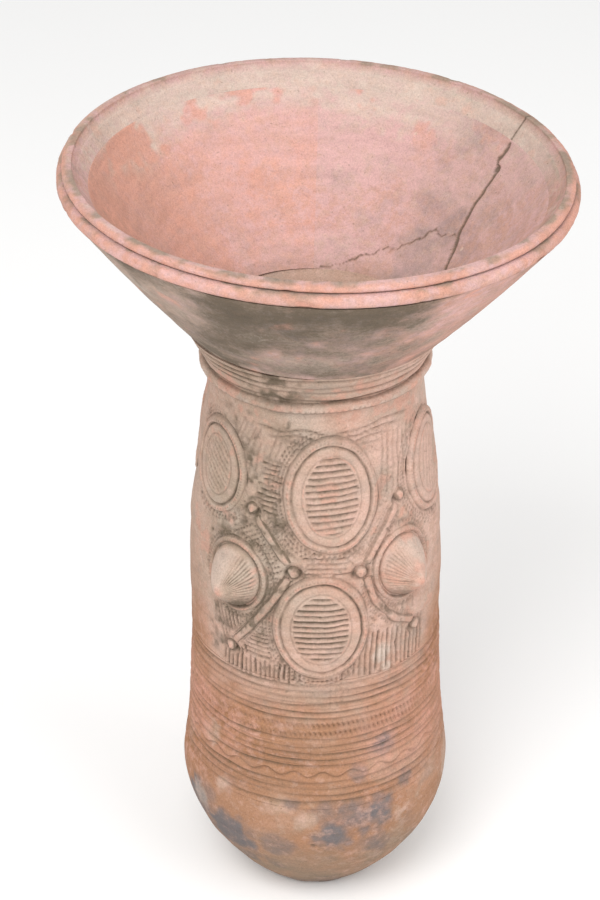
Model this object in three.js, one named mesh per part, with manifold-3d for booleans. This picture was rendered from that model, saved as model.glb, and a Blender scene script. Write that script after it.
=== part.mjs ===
// A hand-built clay goblet drum body: a flared funnel mouth on a grooved neck, a barrel with
// applied ornament, a grooved belt and a round-bottomed base on a small flat foot.
// Millimetres and degrees, +Z up, origin at the centre of the foot's underside.
// Azimuth 0 is the front panel's middle, facing -Y, and grows towards +X.
import * as THREE from "three";
import { mergeVertices } from "three/addons/utils/BufferGeometryUtils.js";
import Module from "manifold-3d";

const wasm = await Module();
wasm.setup();

// ---------------------------------------------------------------- driving sizes
const baseHeight = 96;
const beltHeight = 94;
const barrelHeight = 186;
const neckHeight = 26;
const funnelHeight = 98;

const footRadius = 39;
const bulbRadius = 84.3;
const bulbHeight = 84; // where the base is widest
const beltMiddleRadius = 79.8;
const beltTopRadius = 77.5;
const barrelRadius = 77;
const shoulderRadius = 66.8;
const waistRadius = 64.6;
const neckRadius = 65.3;
const neckTopRadius = 77.6;
const rimRadius = 150;
const throatRadius = 47;

const bodyWall = 9;
const floorThickness = 12;
const rimWall = 8;
const funnelOuterSwell = 2; // how far the funnel's sides bow out of a straight cone
const funnelInnerSwell = 5;
const rimTilt = 2.1; // the mouth leans towards +X, as a hand-set piece does
const leanHeight = 36; // how far above the funnel's foot it leans about

const throatLedge = 3; // step between the funnel's lower edge and the bored throat
const throatDepth = 4; // how far below the funnel's foot that step lies
const bandHeight = 8;
const lipHeight = 5;
const bandOverhang = 3; // how far the band stands out past the lip
const coilHeight = 8.4;
const coilThickness = 4.6;

const seam = 0.3; // gap left between pieces that are luted together
const bedding = 0.45; // gap under the ornament, whose flat-sided backs follow the round body
const grooveDepth = 1;
const groovePitch = 5;
const roundSegments = 36;

// Ornament, applied to the barrel in one panel at the front and one at the back. A panel is
// laid out flat, for a barrel of the layout's radius and height, and stretches with the barrel.
const layout = { radius: 75, foot: 190, height: 186 };
const medallion = { thickness: 2.6, ring: 4, groove: 1.5, border: 8, step: 1 };
const cone = { width: 43, height: 49, length: 17, rim: 3.4, droop: 3 };
const pellet = { radius: 3.8, height: 4.4 };
const ridge = { width: 4.2, height: 2.4, steps: 6 };
const medallionPlaces = [
  { name: "medallion_middle", azimuth: 8, height: 318, across: 61, tall: 74 },
  { name: "medallion_left", azimuth: -56, height: 322, across: 52, tall: 60 },
  { name: "medallion_right", azimuth: 72, height: 316, across: 54, tall: 66 },
  { name: "medallion_low", azimuth: 2.5, height: 229, across: 56, tall: 72 },
];
const conePlaces = [
  { name: "cone_left", azimuth: -39, height: 257 },
  { name: "cone_right", azimuth: 43.5, height: 262 },
];
const pelletPlaces = {
  pellet_left_top: { azimuth: -31.5, height: 305 },
  pellet_left_inner: { azimuth: -10, height: 268 },
  pellet_left_bottom: { azimuth: -41, height: 205 },
  pellet_right_top: { azimuth: 44.5, height: 308 },
  pellet_right_inner: { azimuth: 21, height: 266 },
  pellet_right_bottom: { azimuth: 51, height: 214 },
};
const ridgePlaces = [
  { name: "ridge_left_upper", from: "pellet_left_top", to: "pellet_left_inner", bow: 0 },
  { name: "ridge_left_lower", from: "pellet_left_inner", to: "pellet_left_bottom", bow: 1.5 },
  { name: "ridge_right_upper", from: "pellet_right_top", to: "pellet_right_inner", bow: 0 },
  { name: "ridge_right_lower", from: "pellet_right_inner", to: "pellet_right_bottom", bow: -7 },
];
const panels = [
  { prefix: "front", turn: 0 },
  { prefix: "back", turn: 180 },
];

// ---------------------------------------------------------------- derived levels
const beltFoot = baseHeight;
const barrelFoot = beltFoot + beltHeight;
const neckFoot = barrelFoot + barrelHeight;
const funnelFoot = neckFoot + neckHeight;
const rimLevel = funnelFoot + funnelHeight;
const radians = THREE.MathUtils.degToRad;


// ---------------------------------------------------------------- profile of the body
// A smooth curve r(z) through stations given as [z, r].
function curveThrough(stations) {
  const slope = stations.map((_, i) => {
    const [z0, r0] = stations[Math.max(i - 1, 0)];
    const [z1, r1] = stations[Math.min(i + 1, stations.length - 1)];
    return (r1 - r0) / (z1 - z0);
  });
  return (z) => {
    const last = stations.length - 2;
    const found = stations.findIndex(([end], i) => i > 0 && z <= end) - 1;
    const i = found < 0 ? last : found;
    const [z0, r0] = stations[i];
    const [z1, r1] = stations[i + 1];
    const span = z1 - z0;
    const t = THREE.MathUtils.clamp((z - z0) / span, 0, 1);
    return (
      r0 * (1 + 2 * t) * (1 - t) ** 2 +
      slope[i] * span * t * (1 - t) ** 2 +
      r1 * t * t * (3 - 2 * t) +
      slope[i + 1] * span * t * t * (t - 1)
    );
  };
}

const upperBody = curveThrough([
  [bulbHeight, bulbRadius],
  [beltFoot + beltHeight / 3, beltMiddleRadius],
  [barrelFoot, beltTopRadius],
  [barrelFoot + barrelHeight * 0.3, barrelRadius],
  [barrelFoot + barrelHeight * 0.81, shoulderRadius],
  [barrelFoot + barrelHeight * 0.915, waistRadius],
  [neckFoot, neckRadius],
  [funnelFoot, neckTopRadius],
]);

function outerRadius(z) {
  if (z >= bulbHeight) return upperBody(z);
  const below = (bulbHeight - z) / bulbHeight;
  return footRadius + (bulbRadius - footRadius) * (1 - below * below);
}

// Levels from low to high, both ends included.
const levels = (low, high, count) =>
  Array.from({ length: count + 1 }, (_, i) => low + ((high - low) * i) / count);

const outerLine = (low, high, count) =>
  levels(low, high, count).map((z) => [outerRadius(z), z]);
const innerLine = (low, high, count) =>
  levels(low, high, count)
    .map((z) => [outerRadius(z) - bodyWall, z])
    .reverse();

// A band of round-bottomed combed grooves: a valley, then a crest, groove after groove.
function groovedLine(low, count, radiusAt) {
  const line = [];
  for (let i = 0; i < count; i++) {
    const valley = low + i * groovePitch;
    line.push([radiusAt(valley) - grooveDepth, valley]);
    if (i < count - 1) line.push([radiusAt(valley + groovePitch / 2), valley + groovePitch / 2]);
  }
  return line;
}

// ---------------------------------------------------------------- shapes
function turned(profile, segments = roundSegments) {
  const points = profile.map(([r, z]) => new THREE.Vector2(r, z));
  return new THREE.LatheGeometry(points, segments).rotateX(Math.PI / 2);
}

const turnedRing = (profile, segments) => turned([...profile, profile[0]], segments);

function toSolid(geometry) {
  const bare = new THREE.BufferGeometry();
  bare.setAttribute("position", geometry.getAttribute("position"));
  bare.setIndex(geometry.getIndex());
  const merged = mergeVertices(bare, 1e-3);
  return new wasm.Manifold(
    new wasm.Mesh({
      numProp: 3,
      vertProperties: merged.attributes.position.array,
      triVerts: new Uint32Array(merged.index.array),
    }),
  );
}

function toGeometry(solid) {
  const mesh = solid.getMesh();
  const geometry = new THREE.BufferGeometry();
  geometry.setAttribute("position", new THREE.BufferAttribute(mesh.vertProperties, 3));
  geometry.setIndex(new THREE.BufferAttribute(mesh.triVerts, 1));
  geometry.computeVertexNormals();
  return geometry;
}

// Puts a piece made flat (x across, y up, z out of the clay) at its place in the layout.
function placed(geometry, { azimuth, height }) {
  return geometry.translate(radians(azimuth) * layout.radius, height, 0);
}

// Bends a placed piece round the body, turned by so many degrees.
function wrapOnBody(geometry, turn) {
  const position = geometry.getAttribute("position");
  const stretch = barrelHeight / layout.height;
  for (let i = 0; i < position.count; i++) {
    const z = barrelFoot + (position.getY(i) - layout.foot) * stretch;
    const angle = radians(turn) + position.getX(i) / layout.radius;
    const r = outerRadius(z) + bedding + position.getZ(i);
    position.setXYZ(i, r * Math.sin(angle), -r * Math.cos(angle), z);
  }
  geometry.computeVertexNormals();
  return geometry;
}

// ---------------------------------------------------------------- the vessel
function baseBowl() {
  return turned([
    [0, 0],
    ...outerLine(0, beltFoot, 10),
    ...innerLine(floorThickness, beltFoot, 6),
    [0, floorThickness],
  ]);
}

function groovedBelt() {
  const low = beltFoot + seam;
  return turnedRing([
    [outerRadius(low), low],
    ...groovedLine(beltFoot + 4, 4, outerRadius),
    [outerRadius(beltFoot + 23), beltFoot + 23],
    ...groovedLine(beltFoot + 30, 5, outerRadius),
    [outerRadius(beltFoot + 53), beltFoot + 53],
    [outerRadius(beltFoot + 62), beltFoot + 62],
    ...groovedLine(beltFoot + 66, 6, outerRadius),
    [outerRadius(barrelFoot), barrelFoot],
    ...innerLine(low, barrelFoot, 4),
  ]);
}

function barrel() {
  const low = barrelFoot + seam;
  return turnedRing([...outerLine(low, neckFoot, 14), ...innerLine(low, neckFoot, 5)]);
}

// Inside radius of the mouth: bowed from the rim's inner edge down to the throat's ledge.
const ledgeLevel = funnelFoot - throatDepth;
const ledgeRadius = throatRadius + throatLedge;
function mouthRadius(z) {
  const t = (z - ledgeLevel) / (rimLevel - ledgeLevel);
  const top = rimRadius - bandOverhang - rimWall + 2;
  return ledgeRadius + (top - ledgeRadius) * t + 4 * funnelInnerSwell * t * (1 - t);
}

function neckRing() {
  const low = neckFoot + seam;
  const coilTop = neckFoot + coilHeight / 2;
  return turnedRing([
    [neckRadius, low],
    [neckRadius, coilTop + seam],
    ...groovedLine(coilTop + 3, 4, outerRadius),
    [outerRadius(funnelFoot), funnelFoot],
    [mouthRadius(funnelFoot), funnelFoot],
    [ledgeRadius, ledgeLevel],
    [throatRadius, ledgeLevel],
    [throatRadius, low],
  ]);
}

// The coil that hides the joint between barrel and neck.
function neckCoil() {
  const inner = Math.max(neckRadius, outerRadius(neckFoot - coilHeight / 2)) + seam;
  const half = coilHeight / 2;
  const section = levels(-90, 90, 6).map((degrees) => [
    inner + coilThickness * Math.cos(radians(degrees)),
    neckFoot + half * Math.sin(radians(degrees)),
  ]);
  return turnedRing(section);
}

// Outside radius of the funnel, measured before it is leant over.
const bowlTop = rimLevel - lipHeight - bandHeight;
const bandRootRadius = rimRadius - 2;
function funnelRadius(z) {
  const t = (z - funnelFoot) / (bowlTop - funnelFoot);
  const straight = neckTopRadius + (bandRootRadius - neckTopRadius) * t;
  return straight + 4 * funnelOuterSwell * t * (1 - t);
}

// Leans a piece of the mouth about a point on the drum's axis.
const leanLevel = funnelFoot + leanHeight;
const lean = new THREE.Matrix4()
  .makeTranslation(0, 0, leanLevel)
  .multiply(new THREE.Matrix4().makeRotationY(radians(rimTilt)))
  .multiply(new THREE.Matrix4().makeTranslation(0, 0, -leanLevel));

// The bowl runs on below its foot, and is cut level after it is leant, to sit on the neck.
function funnelBowl() {
  const spare = rimRadius * Math.sin(radians(rimTilt));
  const top = bowlTop - seam;
  const outside = levels(funnelFoot, top, 5).map((z) => [funnelRadius(z), z]);
  const inside = levels(funnelFoot, top, 5).map((z) => [mouthRadius(z), z]);
  const profile = [
    [neckTopRadius, funnelFoot - spare],
    ...outside,
    ...inside.reverse(),
    [mouthRadius(funnelFoot), funnelFoot - spare],
  ];
  const bowl = toSolid(turnedRing(profile).applyMatrix4(lean));
  const size = 3 * rimRadius;
  const below = new THREE.BoxGeometry(size, size, size);
  below.translate(0, 0, funnelFoot + seam - size / 2);
  return toGeometry(bowl.subtract(toSolid(below)));
}

function rimBand() {
  const high = rimLevel - lipHeight - seam;
  const outside = levels(-60, 60, 4).map((degrees) => [
    bandRootRadius - 2 + 4 * Math.cos(radians(degrees)),
    (bowlTop + high) / 2 + ((high - bowlTop) / 2) * (degrees / 60),
  ]);
  return turnedRing([...outside, [mouthRadius(high), high], [mouthRadius(bowlTop), bowlTop]]);
}

function rimLip() {
  const low = rimLevel - lipHeight;
  const outer = rimRadius - bandOverhang;
  const inner = mouthRadius(low);
  const middle = (outer + mouthRadius(rimLevel)) / 2;
  const half = (outer - mouthRadius(rimLevel)) / 2;
  const crown = levels(0, 180, 6).map((degrees) => [
    middle + half * Math.cos(radians(degrees)),
    low + lipHeight * (0.4 + 0.6 * Math.sin(radians(degrees))),
  ]);
  return turnedRing([[outer, low], ...crown, [inner, low]]);
}

// ---------------------------------------------------------------- the ornament
// An oval pad: a raised edge ring, a groove, a flat border and a slightly sunk middle.
function medallionPad({ across, tall }) {
  const radius = across / 2;
  const { thickness, ring, groove, border, step } = medallion;
  const flat = radius - ring - groove;
  const pad = turned(
    [
      [0, 0],
      [radius / 3, 0],
      [(radius * 2) / 3, 0],
      [radius, 0],
      [radius - ring / 2, thickness],
      [radius - ring, thickness * 0.4],
      [flat, thickness * 0.9],
      [flat - border, thickness * 0.9],
      [flat - border - step, thickness * 0.65],
      [0, thickness * 0.75],
    ],
    20,
  );
  return pad.scale(1, tall / across, 1);
}

// A pulled clay cone in a low ring, its tip drooping a little.
function coneBoss() {
  const radius = cone.width / 2;
  const boss = turned(
    [
      [0, 0],
      [radius / 2, 0],
      [radius, 0],
      [radius - cone.rim / 2, 1.8],
      [radius - cone.rim, 0.9],
      [radius * 0.72, 4.2],
      [radius * 0.36, cone.length * 0.6],
      [radius * 0.1, cone.length * 0.96],
      [0, cone.length],
    ],
    16,
  ).scale(1, cone.height / cone.width, 1);
  const position = boss.getAttribute("position");
  for (let i = 0; i < position.count; i++) {
    const out = position.getZ(i) / cone.length;
    position.setY(i, position.getY(i) - cone.droop * out);
  }
  return boss;
}

function clayPellet() {
  const { radius, height } = pellet;
  return turned(
    [
      [0, 0],
      [radius, 0],
      [radius * 0.94, height * 0.5],
      [radius * 0.55, height * 0.9],
      [0, height],
    ],
    10,
  );
}

// A thin strip of clay between two pellets, bowed sideways, with a small gap at each end.
function clayRidge(from, to, bow) {
  const [start, end] = [from, to].map(
    ({ azimuth, height }) => new THREE.Vector2(radians(azimuth) * layout.radius, height),
  );
  const along = end.clone().sub(start).normalize();
  const side = new THREE.Vector2(-along.y, along.x);
  const trim = pellet.radius + ridge.width / 2 + seam;
  const length = start.distanceTo(end) - 2 * trim;

  const half = ridge.width / 2;
  const section = new THREE.Shape();
  section.moveTo(-half, 0);
  section.lineTo(half, 0);
  section.lineTo(half * 0.6, ridge.height * 0.8);
  section.lineTo(0, ridge.height);
  section.lineTo(-half * 0.6, ridge.height * 0.8);
  section.closePath();
  const strip = new THREE.ExtrudeGeometry(section, {
    depth: length,
    steps: ridge.steps,
    bevelEnabled: false,
  });
  const position = strip.getAttribute("position");
  for (let i = 0; i < position.count; i++) {
    const distance = position.getZ(i);
    const t = distance / length;
    const place = start
      .clone()
      .addScaledVector(along, trim + distance)
      .addScaledVector(side, position.getX(i) + bow * 4 * t * (1 - t));
    position.setXYZ(i, place.x, place.y, position.getY(i));
  }
  return strip;
}

// ---------------------------------------------------------------- assembly
const clay = {
  body: new THREE.MeshStandardMaterial({ color: 0xc9a088, roughness: 0.93, metalness: 0 }),
  base: new THREE.MeshStandardMaterial({ color: 0xc08d6c, roughness: 0.92, metalness: 0 }),
  mouth: new THREE.MeshStandardMaterial({ color: 0xd8a595, roughness: 0.94, metalness: 0 }),
  rim: new THREE.MeshStandardMaterial({ color: 0xdcae98, roughness: 0.9, metalness: 0 }),
  ornament: new THREE.MeshStandardMaterial({ color: 0xd0ab98, roughness: 0.93, metalness: 0 }),
};

function named(name, geometry, material) {
  const mesh = new THREE.Mesh(geometry, material);
  mesh.name = name;
  return mesh;
}

const drum = new THREE.Group();
drum.add(named("base_bowl", baseBowl(), clay.base));
drum.add(named("grooved_belt", groovedBelt(), clay.base));
drum.add(named("barrel", barrel(), clay.body));
drum.add(named("neck_ring", neckRing(), clay.body));
drum.add(named("neck_coil", neckCoil(), clay.body));
drum.add(named("funnel_bowl", funnelBowl(), clay.mouth));

const mouth = new THREE.Group();
mouth.applyMatrix4(lean);
mouth.add(named("rim_band", rimBand(), clay.rim));
mouth.add(named("rim_lip", rimLip(), clay.rim));
drum.add(mouth);

for (const { prefix, turn } of panels) {
  const apply = (name, geometry) =>
    drum.add(named(prefix + "_" + name, wrapOnBody(geometry, turn), clay.ornament));

  for (const place of medallionPlaces) apply(place.name, placed(medallionPad(place), place));
  for (const place of conePlaces) apply(place.name, placed(coneBoss(), place));
  for (const [name, place] of Object.entries(pelletPlaces))
    apply(name, placed(clayPellet(), place));
  for (const { name, from, to, bow } of ridgePlaces)
    apply(name, clayRidge(pelletPlaces[from], pelletPlaces[to], bow));
}

export default drum;
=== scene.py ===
"""The clay, the combed and pressed ornament and the stage of a hand-built clay goblet drum."""

import math

import bpy
import numpy as np
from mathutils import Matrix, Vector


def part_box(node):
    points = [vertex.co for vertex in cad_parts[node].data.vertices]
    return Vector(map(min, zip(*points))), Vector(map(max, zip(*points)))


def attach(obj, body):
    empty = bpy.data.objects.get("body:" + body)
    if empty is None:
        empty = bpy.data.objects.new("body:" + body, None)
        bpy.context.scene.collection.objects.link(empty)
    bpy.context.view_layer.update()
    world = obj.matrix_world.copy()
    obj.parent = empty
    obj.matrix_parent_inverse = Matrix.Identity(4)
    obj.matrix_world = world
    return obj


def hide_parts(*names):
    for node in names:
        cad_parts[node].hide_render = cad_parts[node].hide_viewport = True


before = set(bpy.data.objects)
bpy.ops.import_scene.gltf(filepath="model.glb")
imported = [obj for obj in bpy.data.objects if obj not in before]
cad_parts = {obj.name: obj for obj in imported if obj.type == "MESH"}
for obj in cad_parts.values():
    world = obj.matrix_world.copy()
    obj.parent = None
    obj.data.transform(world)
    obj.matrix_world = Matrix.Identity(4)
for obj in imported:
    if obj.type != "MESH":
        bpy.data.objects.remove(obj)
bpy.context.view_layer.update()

bl_info = {
    "name": "Clay goblet drum",
    "version": (1, 0, 0),
    "blender": (4, 5, 0),
    "location": "3D View > Sidebar > Goblet drum",
    "description": "Makes the fired clay pieces of a goblet drum and its stage",
    "category": "Add Mesh",
}

PANELS = (("front_", 0.0), ("back_", math.pi))
MEDALLIONS = ("medallion_middle", "medallion_left", "medallion_right", "medallion_low")
CONES = ("cone_left", "cone_right")
PELLETS = (
    "pellet_left_top",
    "pellet_left_inner",
    "pellet_left_bottom",
    "pellet_right_top",
    "pellet_right_inner",
    "pellet_right_bottom",
)
RIDGES = ("ridge_left_upper", "ridge_left_lower", "ridge_right_upper", "ridge_right_lower")
# Besides dirt, wear and fire clouds, the dark, grey and blue-grey marks also lay painted shade, and the pale
# mark lays painted highlights.
MARKS = ("soil", "wear", "grey", "pale", "orange", "cloud")


# ---------------------------------------------------------------- reading the frame


def node_points(name):
    """A CAD node's corners in millimetres, each place once."""
    return np.unique(np.round(node_corners(name)[0], 3), axis=0)


def node_corners(name):
    """A CAD node's corners in millimetres, face by face, and each corner's face direction."""
    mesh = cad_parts[name].data
    points = np.empty(len(mesh.vertices) * 3)
    mesh.vertices.foreach_get("co", points)
    facing = np.empty(len(mesh.polygons) * 3)
    mesh.polygons.foreach_get("normal", facing)
    index = np.empty(len(mesh.loops), int)
    mesh.loops.foreach_get("vertex_index", index)
    sides = np.empty(len(mesh.polygons), int)
    mesh.polygons.foreach_get("loop_total", sides)
    return points.reshape(-1, 3)[index] * 1000, np.repeat(facing.reshape(-1, 3), sides, axis=0)


def wall_side(corners, facing, outer):
    """Heights and radii of a turned node's outer or inner side, from the bottom up."""
    around = np.hypot(corners[:, 0], corners[:, 1])
    outward = (corners[:, 0] * facing[:, 0] + corners[:, 1] * facing[:, 1]) / np.maximum(around, 1)
    pick = outward > 0.25 if outer else outward < -0.25
    pairs = np.round(np.column_stack((corners[pick, 2], around[pick])), 2)
    rings, count = np.unique(pairs, axis=0, return_counts=True)
    rings = rings[count >= 24]
    levels = np.unique(np.round(rings[:, 0], 1))
    best = np.max if outer else np.min
    radii = [best(rings[np.abs(rings[:, 0] - level) < 0.08, 1]) for level in levels]
    return levels, np.array(radii)


def without_grooves(levels, radii):
    """The wall as it was before its grooves were cut, and the heights of the grooves."""
    def hollow():
        """How far each inner level lies below the line between its neighbours."""
        share = (levels[1:-1] - levels[:-2]) / (levels[2:] - levels[:-2])
        return radii[:-2] + (radii[2:] - radii[:-2]) * share - radii[1:-1]

    lows = levels[1:-1][hollow() > 0.4]
    for _ in range(3):
        keep = np.concatenate(([True], hollow() < 0.25, [True]))
        levels, radii = levels[keep], radii[keep]
    return levels, radii, lows


def smooth_line(levels, radii):
    """A function that gives the radius at any height, through these, with no corners."""
    slopes = np.gradient(radii, levels)

    def radius_at(height):
        height = np.clip(height, levels[0], levels[-1])
        k = np.clip(np.searchsorted(levels, height) - 1, 0, len(levels) - 2)
        span = levels[k + 1] - levels[k]
        t = (height - levels[k]) / span
        return (
            radii[k] * (1 + 2 * t) * (1 - t) ** 2
            + slopes[k] * span * t * (1 - t) ** 2
            + radii[k + 1] * t * t * (3 - 2 * t)
            + slopes[k + 1] * span * t * t * (t - 1)
        )

    return radius_at


def wrap(angle):
    """An angle brought to the half turn either side of zero."""
    return (angle + math.pi) % (2 * math.pi) - math.pi


def span_of(node):
    """Lowest and highest point of a CAD node, in millimetres."""
    low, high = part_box(node)
    return low.z * 1000, high.z * 1000


BELT_LEVELS, BELT_RADII, BELT_GROOVES = without_grooves(
    *wall_side(*node_corners("grooved_belt"), True)
)
NECK_LEVELS, NECK_RADII, NECK_GROOVES = without_grooves(
    *wall_side(*node_corners("neck_ring"), True)
)


def whole_wall():
    """Outer radius by height from the foot to the top of the neck."""
    base = wall_side(*node_corners("base_bowl"), True)
    barrel = wall_side(*node_corners("barrel"), True)
    levels = np.concatenate((base[0], BELT_LEVELS, barrel[0], NECK_LEVELS))
    radii = np.concatenate((base[1], BELT_RADII, barrel[1], NECK_RADII))
    kept = [0]
    for k in range(1, len(levels)):
        if levels[k] > levels[kept[-1]] + 1.0:
            kept.append(k)
    return smooth_line(levels[kept], radii[kept])


WALL = whole_wall()


def mouth_frame():
    """Centre and axes of the leaning mouth, from the top ring of its lip."""
    points = node_points("rim_lip")
    flat = points - points.mean(0)
    up = np.linalg.svd(flat, full_matrices=False)[2][2]
    up = up if up[2] > 0 else -up
    side = np.array([1.0, 0.0, 0.0])
    side = side - up * (side @ up)
    side /= np.linalg.norm(side)
    return points.mean(0), np.array([side, np.cross(up, side), up])


MOUTH_CENTRE, MOUTH_AXES = mouth_frame()


def to_mouth(points):
    """Points as the leaning mouth sees them, its lip's middle at the origin."""
    return (points - MOUTH_CENTRE) @ MOUTH_AXES.T


def from_mouth(points):
    """Points in the mouth's own axes, put back in the row frame."""
    return points @ MOUTH_AXES + MOUTH_CENTRE


def around_axis(radius, azimuth, height):
    """Points this far from the upright axis; azimuth 0 is the front, and grows to the right."""
    return np.stack((radius * np.sin(azimuth), -radius * np.cos(azimuth), height), axis=-1)


# ---------------------------------------------------------------- clay, by numbers


def ease(value, low, high):
    """0 below low, 1 above high, and an easy curve between."""
    t = np.clip((value - low) / (high - low), 0, 1)
    return t * t * (3 - 2 * t)


def hill(distance, width):
    """1 at no distance, falling away smoothly over the width."""
    return np.exp(-((distance / width) ** 2))


def grain(points, size, seed, octaves=3):
    """Smooth hand-made unevenness at the points, about -1 to 1, in lumps of this size."""
    total, weight, reach = 0.0, 1.0, 0.0
    for octave in range(octaves):
        lattice = np.random.RandomState(seed * 7 + octave).uniform(-1, 1, (32, 32, 32))
        cell = points * (2**octave / size) + 0.37 * seed
        low = np.floor(cell).astype(int)
        part = cell - low
        part = part * part * (3 - 2 * part)
        value = 0.0
        for corner in np.ndindex(2, 2, 2):
            share = np.prod(np.where(np.array(corner), part, 1 - part), axis=-1)
            i, j, k = ((low + corner) % 32).T
            value = value + share * lattice[i, j, k]
        total = total + weight * value
        reach += weight
        weight *= 0.5
    return 1.7 * total / reach


def chance(index, seed):
    """A steady random share for each whole number."""
    return np.random.RandomState(seed).uniform(0, 1, 97)[np.asarray(index).astype(int) % 97]


def inside_oval(u, v, half_wide, half_high):
    """How far in from an oval's edge a point lies; below zero outside it."""
    share = np.hypot(u / half_wide, v / half_high)
    steep = np.hypot(u / half_wide**2, v / half_high**2) + 1e-9
    return (1 - share) * np.maximum(share, 1e-6) / steep


def comb_teeth(over, pitch, wander):
    """How deep comb teeth cut, 0 on a rib to 1 in a groove, and which tooth is nearest."""
    place = (over + wander) / pitch
    tooth = np.round(place)
    return hill((place - tooth) * pitch, 0.24 * pitch), tooth


def dots(along, across, spacing, size):
    """A row of pressed dots: 1 in the middle of each."""
    step = along / spacing
    return hill((step - np.round(step)) * spacing, size) * hill(across, size)


def distance_to_line(u, v, line):
    """Nearest distance to a line of points and how far along it that is."""
    best, where, gone = np.full(u.shape, 1e9), np.zeros(u.shape), 0.0
    for (ax, ay), (bx, by) in zip(line[:-1], line[1:]):
        dx, dy = bx - ax, by - ay
        length = math.hypot(dx, dy) + 1e-9
        t = np.clip(((u - ax) * dx + (v - ay) * dy) / length**2, 0, 1)
        gap = np.hypot(u - ax - t * dx, v - ay - t * dy)
        side = np.sign((u - ax) * dy - (v - ay) * dx)
        near = gap < np.abs(best)
        best = np.where(near, gap * np.where(side == 0, 1, side), best)
        where = np.where(near, gone + t * length, where)
        gone += length
    return best, where, gone


# ---------------------------------------------------------------- ornament places


class Place:
    """Where an ornament sits: azimuth and height of its middle, half sizes and thickness."""

    def __init__(self, panel, turn, name):
        points = node_points(panel + name)
        bearing = np.arctan2(points[:, 0], -points[:, 1])
        across = wrap(bearing - turn)
        self.name, self.panel, self.turn = name, panel, turn
        self.middle = (across.min() + across.max()) / 2
        self.level = (points[:, 2].min() + points[:, 2].max()) / 2
        self.radius = float(WALL(self.level))
        self.half_wide = (across.max() - across.min()) / 2 * self.radius
        self.half_high = (points[:, 2].max() - points[:, 2].min()) / 2
        out = np.hypot(points[:, 0], points[:, 1]) - WALL(points[:, 2])
        self.proud = out.max()
        tip = out.argmax()
        self.tip = (
            wrap(bearing[tip] - turn - self.middle) * self.radius,
            points[tip, 2] - self.level,
        )

    def local(self, azimuth, height):
        """Millimetres across and up from the ornament's middle, along the wall."""
        across = wrap(azimuth - self.turn - self.middle) * self.radius
        return across, height - self.level

    def on_wall(self, u, v, lift):
        """Points that stand this far out from the wall, across and up from the middle."""
        azimuth = self.turn + self.middle + u / self.radius
        height = self.level + v
        return around_axis(WALL(height) + lift, azimuth, height)


def ridge_spine(panel, turn, name):
    """A ridge's middle line as azimuths and heights, end to end, from its corners."""
    points = node_points(panel + name)
    across = wrap(np.arctan2(points[:, 0], -points[:, 1]) - turn)
    level = points[:, 2]
    radius = float(WALL(level.mean()))
    flat = np.column_stack((across * radius, level))
    middle = flat.mean(0)
    along = np.linalg.svd(flat - middle, full_matrices=False)[2][0]
    along = along if along[1] < 0 else -along
    t = (flat - middle) @ along
    edges = np.linspace(t.min(), t.max(), 10)
    crosswise = np.array([-along[1], along[0]])
    line = []
    for low, high in zip(edges[:-1], edges[1:]):
        here = flat[(t >= low - 0.6) & (t <= high + 0.6)]
        if len(here) >= 4:
            off = (here - middle) @ crosswise
            line.append(middle + along * (low + high) / 2 + crosswise * (off.min() + off.max()) / 2)
    ends = [flat[t < edges[0] + 1.5].mean(0), flat[t > edges[-1] - 1.5].mean(0)]
    return np.array([ends[0]] + line[1:-1] + [ends[1]]), radius, turn


PLACES = {
    panel + name: Place(panel, turn, name)
    for panel, turn in PANELS
    for name in MEDALLIONS + CONES + PELLETS
}
SPINES = {
    panel + name: ridge_spine(panel, turn, name) for panel, turn in PANELS for name in RIDGES
}


# ---------------------------------------------------------------- comb strokes on the wall


class Combing:
    """A patch of comb strokes: its middle, half sizes, the strokes' slope and their pitch."""

    def __init__(self, across, height, half_along, half_over, slope, pitch, deep=1.0, dotted=0.0):
        self.across, self.height = across, height
        self.half_along, self.half_over = half_along, half_over
        self.slope, self.pitch, self.deep, self.dotted = math.radians(slope), pitch, deep, dotted


# Millimetres across the panel and up from the floor, half sizes along and over the strokes,
# their slope in degrees and pitch, then how deep and how dotted they are.
COMBED = (
    Combing(-31, 318, 8.5, 21, -9, 3.4),
    Combing(-30, 296, 8, 7, -25, 3.2),
    Combing(-22, 285, 7, 12, -42, 3.0, 0.9, 0.5),
    Combing(-44, 284, 9, 11, 38, 3.2, 1.0, 0.6),
    Combing(-31, 272, 9, 14, 28, 3.2, 0.9, 0.7),
    Combing(8, 273, 15, 9, -3, 3.5, 0.9),
    Combing(24, 281, 8, 9, -52, 3.4, 0.7, 0.4),
    Combing(60, 331, 22, 17, 84, 4.6, 0.45),
    Combing(-24, 349, 12, 5, 72, 4.2, 0.45),
    Combing(-40, 336, 12, 8, 80, 4.4, 0.35),
    Combing(48, 292, 9, 10, 40, 4.0, 0.55, 0.4),
    Combing(-53, 217, 17, 9, 104, 2.9),
    Combing(-36, 214, 12, 12, -3, 3.1, 0.8),
    Combing(-34, 195, 7, 26, 91, 3.1, 0.9),
    Combing(45, 206, 16, 30, 88, 3.6, 0.95),
    Combing(53, 236, 8, 14, 84, 4.2, 0.6),
    Combing(-42, 250, 10, 8, 60, 3.0, 0.7, 0.6),
    Combing(-27, 243, 9, 8, 66, 2.9, 0.8, 0.7),
    Combing(-14, 350, 7, 9, 24, 3.0, 0.7, 0.6),
    Combing(-48, 352, 8, 8, 64, 3.4, 0.6, 0.5),
    Combing(38, 350, 9, 9, -38, 3.2, 0.6, 0.5),
    Combing(46, 318, 7, 13, -30, 3.1, 0.7, 0.5),
    Combing(36, 238, 7, 12, -48, 3.0, 0.8, 0.6),
    Combing(-50, 300, 8, 8, 10, 3.0, 0.8, 0.6),
    Combing(12, 196, 24, 6, 92, 3.3, 0.5, 0.3),
)


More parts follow.
